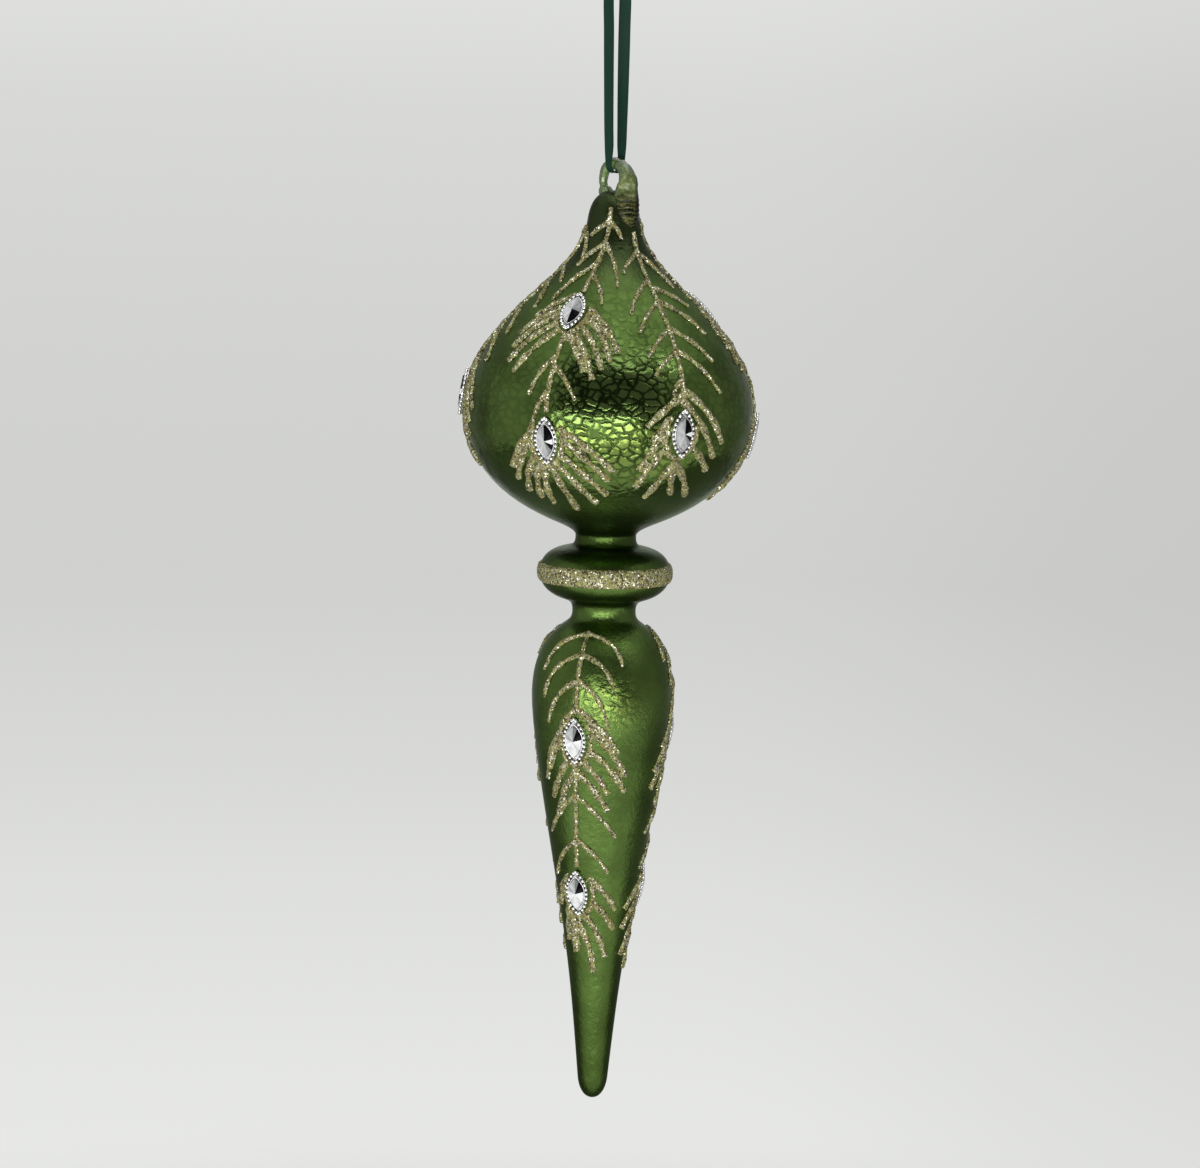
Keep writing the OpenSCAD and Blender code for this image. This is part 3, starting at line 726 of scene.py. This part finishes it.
def ribbon_knot():
    """The ribbon's overhand knot: a closed round of folded ribbon, squeezed tight about the strands."""
    knot = new_curve("ribbon_knot_wraps")
    spline = knot.data.splines.new("NURBS")
    count = 40
    spline.points.add(count - 1)
    for k, point in enumerate(spline.points):
        a = 2 * pi * k / count
        r = 1.25 + 0.42 * cos(3 * a)
        place = in_frame(r * cos(2 * a), 1.05 * r * sin(2 * a), knot_z + 0.95 * sin(3 * a))
        point.co = (*place, 1)
    spline.use_cyclic_u = True
    spline.order_u = 4
    knot.data.resolution_u = 5
    knot.data.bevel_depth = 0.82 * MM
    knot.data.bevel_resolution = 4
    bpy.ops.object.convert(target="MESH")
    add_remesh(knot, 0.13)
    add_smooth(knot, 2)
    apply_modifiers(knot)
    bpy.ops.object.shade_smooth()
    spots = []
    for vertex in knot.data.vertices:
        x, y, z = vertex.co
        spots.append((z / (ribbon_w * MM) - 0.2, atan2(y, x) * 2 * MM))
    add_weave(knot.data, spots)
    return knot


knot = ribbon_knot()
knot.data.materials.append(satin)
for piece, node in ((ribbon, "ribbon_loop"), (knot, "ribbon_knot")):
    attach(piece, "ribbon")
    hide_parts(node)
in_frame(0, 0, knot_z)


def keep(piece, slot, finish, *nodes):
    """Gives a piece of the ornament its finish, and its place in the frame."""
    piece.data.materials.clear()
    piece.data.materials.append(finish)
    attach(piece, "ornament")
    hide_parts(*nodes)


# Glass body

def turned_piece(name, rows, steps, fineness):
    """Turns a drawn outline round the upright axis. Rows are points with both handle ends."""
    piece = new_curve(name)
    spline = piece.data.splines.new("BEZIER")
    spline.bezier_points.add(len(rows) - 1)
    piece.data.resolution_u = fineness
    for point, row in zip(spline.bezier_points, rows):
        point.handle_left_type = point.handle_right_type = "FREE"
        point.handle_left, point.co, point.handle_right = (in_frame(p.x, 0, p.y) for p in row)
    bpy.ops.object.convert(target="MESH")
    piece = named(name)
    bpy.ops.object.mode_set(mode="EDIT")
    select_mesh()
    bpy.ops.mesh.spin(steps=steps, angle=2 * pi, center=(0, 0, 0), axis=(0, 0, 1))
    select_mesh()
    bpy.ops.mesh.remove_doubles(threshold=2e-6)
    normals_outward(piece)
    bpy.ops.object.shade_smooth()
    return piece


body = turned_piece("blown_glass_body", [handles(stop) for stop in stops], 160, 12)
keep(body, "lacquered_glass", lacquered_glass(), "glass_body")


# Hook

# The cane's way: place along the bar, height, thickness
leg_out = 0.1 * root_d
hook_way = [
    (0.72 * eye_r, crown_z - 9.2, 1.1 * root_d),
    (0.82 * eye_r + 0.5 * leg_out, crown_z - 6.4, 1.08 * root_d),
    (0.86 * eye_r + leg_out, crown_z - 3.4, root_d),
    (0.9 * eye_r + leg_out, crown_z + 0.1, mix(root_d, bar_d, 0.3)),
    (0.97 * eye_r + leg_out, crown_z + 0.4 * bar_rise, mix(root_d, bar_d, 0.55)),
    (0.7 * eye_r + 0.5 * leg_out, crown_z + 0.82 * bar_rise, mix(root_d, bar_d, 0.92)),
    (0, bar_z, bar_d),
    (-0.7 * eye_r, crown_z + 0.82 * bar_rise, mix(bar_d, end_d, 0.35)),
    (-0.97 * eye_r, crown_z + 0.4 * bar_rise, mix(bar_d, end_d, 0.8)),
    (-0.9 * eye_r, crown_z + 1.1, end_d),
    (-0.82 * eye_r, crown_z + 0.1, 1.6 * end_d),
    (-0.5 * eye_r, crown_z - 2.2, 1.9 * end_d),
]


def drawn_hook():
    """A cane of glass drawn thin, bent over and fused back, with ripples at its root."""
    hook = new_curve("drawn_glass_hook")
    spline = hook.data.splines.new("POLY")
    line = smooth_line(hook_way, 8)
    spline.points.add(len(line) - 1)
    for point, (sideways, height, thick) in zip(spline.points, line):
        spot = sideways * along_bar
        point.co = (*in_frame(spot.x, spot.y, height), 1)
        below = min(max((crown_z + 1 - height) / 4, 0), 1) if sideways > 0 else 0
        point.radius = thick / 2 * (1 + 0.035 * below * sin(height * 5.2))
    hook.data.bevel_depth = MM
    hook.data.bevel_resolution = 10
    hook.data.use_fill_caps = True
    bpy.ops.object.convert(target="MESH")
    add_remesh(hook, 0.16)
    add_lumps(hook, 1.6, 0.22, 2)
    add_smooth(hook, 3)
    apply_modifiers(hook)
    bpy.ops.object.shade_smooth()
    return hook


keep(drawn_hook(), "hook_glass", hook_glass(), "hanging_hook")


# Glitter feathers

# Rows of barbs: place over the gem's middle, then angle and reach to the left and to the right
eye_top = 12
two_gem_tip = [(30, 49, 6.5, 42, 8)]
two_gem_high = [
    (24, 39, 11.5, 30, 17), (18, 33, 16.5, 0, 0), (14, 0, 0, 32, 12.5),
    (6, 48, 12.5, 0, 0), (1.2, 48, 16, 40, 18.5), (-1.2, 44, 16, 36, 17.5), (-3.9, 42, 17.5, 34, 16.5),
    (-6.3, 38, 17, 33, 17), (-7.6, 0, 0, 37, 13.5),
]
two_gem_low = [
    (23, 27, 13, 0, 0), (20, 0, 0, 40, 12), (13.5, 21, 15.5, 0, 0), (3, 33, 13.5, 50, 17.5),
    (0, 25, 13.5, 45, 16), (-4, 18, 13, 41, 16.5), (-6.3, 11, 13, 32, 16.5), (-7.4, 1, 14, 12, 17),
]
one_gem = [
    (56, 42, 9.5, 36, 18.5), (47, 37, 15.5, 0, 0), (44, 0, 0, 57, 16), (39, 40, 14, 48, 17.5),
    (29.5, 44, 12.5, 48, 16), (22.5, 46, 10.5, 46, 18), (14.5, 35, 5.5, 0, 0), (11.5, 0, 0, 45, 21),
    (10, 50, 13, 0, 0), (8, 0, 0, 39, 19.5), (3.7, 34, 7.5, 0, 0), (0, 26, 11.5, 0, 0),
    (-3.8, 22, 13, 46, 10), (-8, 19, 13, 34, 14.5), (-8.4, -15, 11, 0, 0),
]
drop_high = [
    (30, 45, 17, 50, 15), (23.6, 41, 17, 45, 14), (16.3, 35, 15, 35, 15.5), (9, 29, 19.5, 44, 17),
    (4, 0, 0, 36, 17), (-0.6, 25, 12.5, 0, 0), (-2.7, 0, 0, 39, 15), (-6.2, 26, 12, 38, 11),
    (-8.6, 23, 14.5, 39, 14), (-15.4, 38, 15, 42, 16),
]
drop_low = [
    (15.2, 35, 13.5, 42, 12.5), (4, 22, 15, 36, 17), (-2.5, 0, 0, 32, 14), (-4.8, 2, 9.5, 0, 0),
    (-6.6, -4, 11, 24, 13), (-8.4, 6, 9, 14, 15),
]
# Each feather's lay on the glass: angle, bow and lift of the bulb's, angle, lean and side of the drop's
bulb_lay = [
    (-90, 0, 6.7), (-24.7, -1.8, -2.5), (29.6, 0, 0), (94, 2.2, -3.3), (153.5, 1.5, -0.5), (211.5, 0.4, -2),
]
drop_lay = [(-27.6, 0.032, 1), (106, 0, -1), (215, 0.032, 1)]
bulb_lean = 0.078
# The share of the way round that a feather's barbs may fill to the left and to the right
bulb_shares, tip_shares, drop_shares = (0.5 / 6, 0.5 / 6), (0.7 / 6, 0.6 / 6), (0.42 / 3, 0.58 / 3)

bulb_high_run = run_to(bulb_z + 0.535 * bulb_high_h)
bulb_top_run = run_to(stem_z - 0.055 * bulb_high_h)
bulb_tip_run = run_to(stem_z + 0.45 * stem_h)
drop_high_run = run_to(0.909 * drop_h)
drop_low_run = run_to(0.528 * drop_h)
drop_top_run = run_to(drop_h + 0.81 * shoulder_h)
gem_end = gem_l / 2 + line_gap + 0.4
# A glue line's steps, the height of its middle and of its top, and its widths from start to end
line_step, line_up, line_top = 0.9, 0.12, 0.76
eye_widths, plain_widths, stem_widths, nest_widths = (1.4, 1.22), (1.0, 0.66), (0.78, 0.92), (0.95, 0.95)
plain_bend, end_gap, least_part = 0.1, 0.3, 0.3


def bulb_low_run(i):
    return run_to(bulb_z - 0.08 * bulb_low_h + bulb_lay[i - 1][2])


def bulb_line(i):
    return bulb_lay[i - 1][0], bulb_lean, bulb_low_run(i), bulb_lay[i - 1][1], bulb_top_run


def drop_line(i):
    return drop_lay[i - 1][0], drop_lay[i - 1][1], drop_low_run, 0, drop_top_run


def arc_r(length, width):
    return (length**2 + width**2) / (4 * width)


def gem_room(height):
    """Half the width kept free round a gem, at a height over its middle."""
    r = arc_r(gem_l, gem_w)
    grown = r + line_gap + line_w / 2
    return max(0, sqrt(grown**2 - height**2) - r + gem_w / 2) if abs(height) < grown else 0


def squeezed_line(curve, way, line, wide, narrow):
    """A line of glitter glue, squeezed on by hand, through points across and along the glass."""
    spline = curve.splines.new("POLY")
    spline.points.add(len(way) - 1)
    waver = random.uniform(0, 6)
    for k, (point, (across, run)) in enumerate(zip(spline.points, way)):
        t = k / (len(way) - 1)
        sway = 0.12 * sin(waver + 5 * t)
        width = mix(wide, narrow, t)
        up = min(line_up, line_top - width * line_w / 2)
        point.co = (*on_glass(across + sway, run, line, up), 1)
        point.radius = width * (1 + 0.16 * sin(waver + 13 * t) + random.uniform(-0.1, 0.1))


def stem_line(curve, top, low, line):
    n = ceil((top - low) / line_step)
    squeezed_line(curve, [(0, mix(top, low, k / n)) for k in range(n + 1)], line, *stem_widths)


def barb(curve, run, place, side, angle, reach, line, share, bend):
    """A line that starts on the stem or beside the gem, and droops to its end."""
    start = Vector((side * gem_room(place), run + place))
    lean = radians(angle)
    whole = start + reach * Vector((side * sin(lean), -cos(lean)))
    room = 2 * pi * share * glass_at(whole.y).x - line_w / 2 - end_gap
    part = 1
    if abs(whole.x) > room:
        part = max(least_part, (room - abs(start.x)) / (abs(whole.x) - abs(start.x)))
    end = start.lerp(whole, part)
    knee = start.lerp(end, 0.5) + bend * part * reach * Vector((side * cos(lean), sin(lean)))
    n = max(3, ceil(part * reach / line_step))
    way = []
    for k in range(n + 1):
        t = k / n
        way.append(start.lerp(knee, t).lerp(knee.lerp(end, t), t))
    if start.x:
        way.insert(0, Vector((start.x - 0.8 * side, start.y + 0.2)))
    widths = eye_widths if abs(place) < eye_top else plain_widths
    squeezed_line(curve, way, line, *widths)


def nest(curve, run, line):
    """A line of glue that runs round the lower half of a gem."""
    top, foot, steps = 2, gem_end - 0.3, 9
    heights = [top - k * (foot + top) / steps for k in range(steps)]
    left = [(-0.96 * gem_room(height), run + height) for height in heights]
    right = [(-across, at) for across, at in left]
    squeezed_line(curve, left + [(0, run - foot)] + right[::-1], line, *nest_widths)


def barbs(curve, rows, run, line, shares, bend=plain_bend):
    for place, left, left_reach, right, right_reach in rows:
        droop = bend if place > eye_top else plain_bend
        if left_reach:
            barb(curve, run, place, -1, left, left_reach, line, shares[0], droop)
        if right_reach:
            barb(curve, run, place, 1, right, right_reach, line, shares[1], droop)


def sided(rows, side):
    """Rows of barbs as they are, or with left and right changed over."""
    return rows if side > 0 else [(row[0], *row[3:], *row[1:3]) for row in rows]


def new_glue(name):
    """An empty set of glue lines, each as thick as its points say."""
    piece = new_curve(name)
    piece.data.bevel_depth = line_w / 2 * MM
    piece.data.bevel_resolution = 3
    piece.data.use_fill_caps = True
    return piece


def sprinkled(piece):
    """Turns glue lines into a crust of grains."""
    pick(piece)
    if piece.type == "CURVE":
        bpy.ops.object.convert(target="MESH")
    add_remesh(piece, 0.26)
    add_lumps(piece, 0.9, 0.22, 1)
    add_lumps(piece, 0.40, 0.24, 1)
    apply_modifiers(piece)
    bpy.ops.object.shade_flat()
    return piece


def feather(name, line, top, eyes):
    """A feather from its top down. An eye is its gem's place, and groups of barbs with shares and bend."""
    piece = new_glue(name)
    for run, groups in eyes:
        stem_line(piece.data, top, run + gem_end, line)
        for rows, *lay in groups:
            barbs(piece.data, rows, run, line, *lay)
        top = run - gem_end
    for run, groups in eyes:
        nest(piece.data, run, line)
    return sprinkled(piece)


def bulb_feather(i):
    low = bulb_low_run(i)
    top, eyes = bulb_top_run, [(low, [(one_gem, bulb_shares)])]
    if i % 2 == 0:
        high_eye = (bulb_high_run, [(two_gem_tip, tip_shares), (two_gem_high, bulb_shares)])
        top, eyes = bulb_tip_run, [high_eye, (low, [(two_gem_low, bulb_shares)])]
    return feather(f"bulb_glitter_feather_{i}", bulb_line(i), top, eyes)


def drop_feather(i):
    side = drop_lay[i - 1][2]
    shares = drop_shares[::side]
    eyes = [
        (drop_high_run, [(sided(drop_high, side), shares, 0.28)]),
        (drop_low_run, [(sided(drop_low, side), shares, 0.15)]),
    ]
    return feather(f"drop_glitter_feather_{i}", drop_line(i), drop_top_run, eyes)


champagne = champagne_glitter()
for i in range(1, 7):
    keep(bulb_feather(i), "glitter", champagne, f"bulb_feather_{i}")
for i in range(1, 4):
    keep(drop_feather(i), "glitter", champagne, f"drop_feather_{i}")


# Glitter band round the collar

def collar_band():
    """A raised ring on the collar's widest line, flat inside and rounded outside."""
    half = band_h / 2
    inside = glass_at(run_to(collar_z - half)).x - 0.1
    outside = collar_r + glue + band_t
    edge = outside - 0.35
    rows = [
        [(inside, 0), (inside, -half), (edge, -half)],
        [(outside, -0.6 * half), (outside, 0), (outside, 0.6 * half)],
        [(edge, half), (inside, half), (inside, 0)],
        [(inside, 0.5), (inside, 0), (inside, -0.5)],
        [(inside, 0), (inside, -half), (inside, 0)],
    ]
    rows = [[Vector((r, collar_z + up)) for r, up in row] for row in rows]
    return sprinkled(turned_piece("collar_glitter_ring", rows, 128, 8))


keep(collar_band(), "glitter", champagne, "collar_glitter_band")


# Gems

def marquise_edge(length, width, count):
    """Points round a pointed oval made by two arcs, from one point of it to the other and back."""
    r = arc_r(length, width)
    half = asin(length / 2 / r)
    side = []
    for k in range(count):
        a = half * (2 * k / count - 1)
        side.append(Vector((width / 2 - r + r * cos(a), r * sin(a), 0)))
    return side + [-p for p in side]


def marquise_plate(name, length, width, count):
    """A flat pointed oval, from a disc whose rim is moved into place."""
    deselect()
    bpy.ops.mesh.primitive_circle_add(vertices=2 * count, radius=0.01, fill_type="NGON")
    piece = named(name)
    for vertex, place in zip(piece.data.vertices, marquise_edge(length, width, count)):
        vertex.co = place * MM
    bpy.ops.object.mode_set(mode="EDIT")
    bpy.ops.mesh.select_mode(type="FACE")
    select_mesh()
    return piece


def raise_face(height):
    bpy.ops.mesh.extrude_region_move(TRANSFORM_OT_translate={"value": (0, 0, height * MM)})


def inset_face(width, depth=0.0):
    bpy.ops.mesh.inset(thickness=width * MM, depth=depth * MM)


def add_shine_and_shade(piece, amount):
    """Marks how bright and smooth a piece of metal is, with black painted shade where the mark is low, and
    hands the marks back.
    """
    marks = piece.data.attributes.new("polish", "FLOAT", "POINT").data
    for mark in marks:
        mark.value = amount
    return marks


def setting_cup():
    """A cup painted black as shade between the beads, with a bright foot."""
    skirt = 0.7
    cup = marquise_plate("beaded_setting", gem_l - 1.1, gem_w - 0.8, 18)
    raise_face(skirt + 0.3)
    inset_face(0.1)
    raise_face(gem_h - 0.75)
    inset_face(rim - 0.75)
    raise_face(0.1 - recess)
    normals_outward(cup)
    bpy.ops.object.shade_smooth_by_angle(angle=radians(40))
    cup.data.transform(Matrix.Translation((0, 0, -skirt * MM)))
    # The cup is marked 0, near black as painted shade between the beads; its foot is bright
    for vertex, mark in zip(cup.data.vertices, add_shine_and_shade(cup, 0.0)):
        if vertex.co.z < 0.4 * MM:
            mark.value = 0.75
    return cup


def setting_lip():
    """A bright lip round the stone."""
    lip = marquise_plate("lip", stone_l + 0.75, stone_w + 0.55, 18)
    inset_face(0.24)
    bpy.ops.mesh.delete(type="ONLY_FACE")
    select_mesh()
    raise_face(0.5)
    select_mesh()
    bpy.ops.mesh.normals_make_consistent(inside=False)
    bpy.ops.mesh.bevel(offset=0.06 * MM, segments=2, affect="EDGES")
    bpy.ops.object.mode_set(mode="OBJECT")
    bpy.ops.object.shade_smooth_by_angle(angle=radians(50))
    lip.data.transform(Matrix.Translation((0, 0, (gem_h - 0.45) * MM)))
    add_shine_and_shade(lip, 0.85)
    return lip


def setting_beads():
    """Bright beads that stand round the cup's edge, one at each point and a row along each side."""
    bead_w, end_in = 1.12, 0.12
    bead_r = 0.44 * bead_w
    length, width = gem_l - bead_w, gem_w - bead_w
    r = arc_r(length, width)
    half = acos(1 - (width / 2 - 0.5 * bead_w) / r)
    places = [(0, 0.5 * length - end_in), (0, end_in - 0.5 * length)]
    for side in (-1, 1):
        for k in range(side_beads):
            a = half * (2 * k / (side_beads - 1) - 1)
            places.append((side * (width / 2 - r + r * cos(a)), r * sin(a)))
    beads = []
    for x, y in places:
        deselect()
        spot = (x * MM, y * MM, (gem_h - 0.3) * MM)
        bpy.ops.mesh.primitive_uv_sphere_add(segments=12, ring_count=8, radius=bead_r * MM, location=spot)
        bpy.ops.object.transform_apply(location=True)
        bpy.ops.object.shade_smooth()
        add_shine_and_shade(bpy.context.object, 1.0)
        beads.append(bpy.context.object)
    return beads


def beaded_setting():
    cup, lip, beads = setting_cup(), setting_lip(), setting_beads()
    pick(cup)
    for part in beads + [lip]:
        part.select_set(True)
    bpy.ops.object.join()
    return cup


def cut_stone():
    """A pointed stone: a girdle, a ring of slanting facets, and a shallow roof of facets."""
    stone = marquise_plate("cut_stone", stone_l - 4 * seat_gap, stone_w - 2 * seat_gap, 7)
    raise_face(recess + 0.2)
    inset_face(0.06, 0.3)
    bpy.ops.mesh.poke(offset=0.2 * MM)
    normals_outward(stone)
    bpy.ops.object.shade_flat()
    stone.data.transform(Matrix.Translation((0, 0, (gem_h - recess) * MM)))
    return stone


def paint_facet_reflections(stone, tones):
    """Paints a reflection on each facet of a stone, from black to white, by where it lies round the stone.
    """
    facet = stone.data.attributes.new("facet", "FLOAT", "FACE")
    for polygon, item in zip(stone.data.polygons, facet.data):
        x, y = polygon.center.x, polygon.center.y / 2
        turn = (atan2(y, x) / (2 * pi) + 0.25) % 1
        item.value = tones[int(turn * len(tones)) % len(tones)]


def seat(run, line):
    """The place of a gem, with its back to the glass and its length up the outline."""
    d = rising(run)
    turn = radians(line_turn(line, run))
    out = Vector((sin(turn), -cos(turn), 0))
    side = Vector((cos(turn), sin(turn), 0))
    up = d.x * out + Vector((0, 0, d.y))
    face = d.y * out - Vector((0, 0, d.x))
    spot = on_glass(0, run, line, glue)
    return placed(side, up, face, spot)


def copy_to(model, name, place):
    piece = add_object(name, model.data.copy())
    piece.data.name = name
    piece.data.transform(place)
    return piece


plated, foil = silver(), foil_stone()
setting_model, stone_model = beaded_setting(), cut_stone()
seats = {}
for i in range(1, 7):
    seats[f"bulb_gem_{i}"] = seat(bulb_low_run(i), bulb_line(i))
for i in range(7, 10):
    seats[f"bulb_gem_{i}"] = seat(bulb_high_run, bulb_line(2 * (i - 6)))
for i in range(1, 4):
    seats[f"drop_gem_{i}"] = seat(drop_high_run, drop_line(i))
    seats[f"drop_gem_{i + 3}"] = seat(drop_low_run, drop_line(i))
# Painted reflections: the tone of each facet in turn round the stone, for low, high and drop stones
low_painted_reflections = [0.6, 0.4, 0.01, 1.0, 0.01, 0.0, 0.0, 0.5, 0.62, 0.7, 0.6, 0.65, 0.72, 0.6]
high_painted_reflections = [0.0, 0.0, 0.01, 0.5, 0.6, 0.55, 0.7, 0.9, 0.85, 0.8, 0.95, 0.85, 0.95, 0.8]
drop_painted_reflections = [0.9, 0.75, 0.95, 1.0, 0.02, 0.0, 0.3, 0.6, 0.7, 0.55, 0.85, 0.95, 0.8, 0.9]
for node, place in seats.items():
    family, number = node.rsplit("_", 1)
    setting = copy_to(setting_model, f"{family}_beaded_setting_{number}", place)
    keep(setting, "setting", plated, f"{family}_setting_{number}")
    tones = high_painted_reflections if int(number) > 6 else low_painted_reflections
    if family == "drop_gem":
        tones = drop_painted_reflections
    stone = copy_to(stone_model, f"{family}_cut_stone_{number}", Matrix())
    paint_facet_reflections(stone, tones)
    stone.data.transform(place)
    keep(stone, "stone", foil, node)
for model in (setting_model, stone_model):
    bpy.data.objects.remove(model)


# Stage: a pale floor that fades out, a pale surround, soft lamps, and cards that only reflections show

floor_z, card_z = -0.42, -0.41


def pale_floor():
    deselect()
    bpy.ops.mesh.primitive_circle_add(vertices=96, radius=1.0, fill_type="NGON", location=(0, 0, floor_z))
    floor = named("pale_floor")
    bpy.ops.object.transform_apply(location=True)
    f = new_finish("pale floor")
    place = f.place()
    away = f.vectors("LENGTH", f.scaled(place, (1, 1, 0)), output="Value")
    paper = f.noise(place, 300)
    shade = f.blend(paper, (0.74, 0.745, 0.735, 1), (0.77, 0.775, 0.765, 1))
    matt = f.principled({"Base Color": shade, "Roughness": 0.9})
    matt = f.mixed(0.7 * f.shown(), matt, f.glow(shade))
    clear = f.add("BsdfTransparent")
    floor.data.materials.append(f.close(f.mixed(f.step(away, 0.12, 0.42), matt, clear)))


def surround():
    """A pale surround: its tones follow the photograph's backdrop from low to high."""
    f = Finish(bpy.data.worlds.new("pale surround"))
    way = f.split(f.add("TexCoord", output="Generated"))
    level = f.step(way.out("Z"), -0.30, 0.05, "LINEAR")
    tones = [
        (0.0, 0.78), (0.1, 0.80), (0.26, 0.74), (0.37, 0.68), (0.49, 0.63), (0.66, 0.65), (0.8, 0.68),
        (0.9, 0.74),
    ]
    backdrop = f.ramp(level, [(at, (tone, 1.012 * tone, 0.99 * tone, 1)) for at, tone in tones])
    backdrop = f.blend(0.085 * f.step(way, 0.02, 0.16), backdrop, (0, 0, 0, 1))
    lit = f.add("Background", None, {"Color": (1, 1, 1, 1), "Strength": 0.3})
    pale = f.add("Background", None, {"Color": backdrop, "Strength": 1.0})
    bpy.context.scene.world = f.close(f.mixed(f.shown(), lit, pale), "OutputWorld")


def soft_lamp(name, place, target, width, height, glow):
    data = bpy.data.lights.new(name, "AREA")
    data.shape = "RECTANGLE"
    data.size, data.size_y = width, height
    data.energy = glow * pi * width * height
    lamp = add_object(name, data)
    lamp.location = place
    lamp.rotation_euler = (Vector(target) - Vector(place)).to_track_quat("-Z", "Y").to_euler()
    return lamp


def reflected_card(name, place, target, width, height, tone):
    """A plain card, dark or bright, which only reflections show."""
    deselect()
    bpy.ops.mesh.primitive_plane_add(size=1)
    card = named(name)
    turn = (Vector(target) - Vector(place)).to_track_quat("Z", "Y").to_matrix().to_4x4()
    size = Matrix.Diagonal((width, height, 1, 1))
    card.data.transform(Matrix.Translation(place) @ turn @ size)
    f = new_finish("reflected card")
    card.data.materials.append(f.close(f.glow((tone, tone, tone, 1))))
    card.visible_camera = False
    card.visible_diffuse = False
    card.visible_shadow = False


middle = in_frame(0, 0, bulb_z)
pale_floor()
surround()
soft_lamp("front soft lamp", (-0.18, -1.67, -0.47), middle, 2.0, 0.82, 5.1)
soft_lamp("top soft lamp", (-0.05, 0, 0.8), middle, 0.8, 0.56, 0.25)
back_fill = soft_lamp("back soft lamp", (0, 1.5, 0.1), middle, 1.6, 1.2, 1.6)
back_fill.visible_glossy = False
cards = [
    ("top_card", (0.1, 0, 0.79), middle, 1.2, 0.58, 2.0),
    ("front_flag", (0.1, -1.75, 2.17), (0.1, 0, 2.17), 3.4, 4.5, 0.13),
    ("right_flag", (1.3, -0.3, 0.1), middle, 1.6, 1.6, 0.38),
    ("floor_card", (0, -0.38, card_z), (0, -0.38, 0), 1.1, 0.66, 1.25),
    ("floor_flag", (0, 0.275, card_z), (0, 0.275, 0), 1.2, 0.65, 0.18),
    ("glint_card", (0.58, -0.29, 0.70), middle, 0.1, 0.1, 10),
    ("left_flag", (-1.3, -0.2, 0.0), middle, 1.7, 1.7, 0.55),
    ("left_back_flag", (-0.8, 0.9, -0.1), middle, 1.3, 1.8, 0.3),
    ("right_back_flag", (0.9, 0.9, -0.1), middle, 1.4, 1.8, 0.30),
]
for card in cards:
    reflected_card(*card)
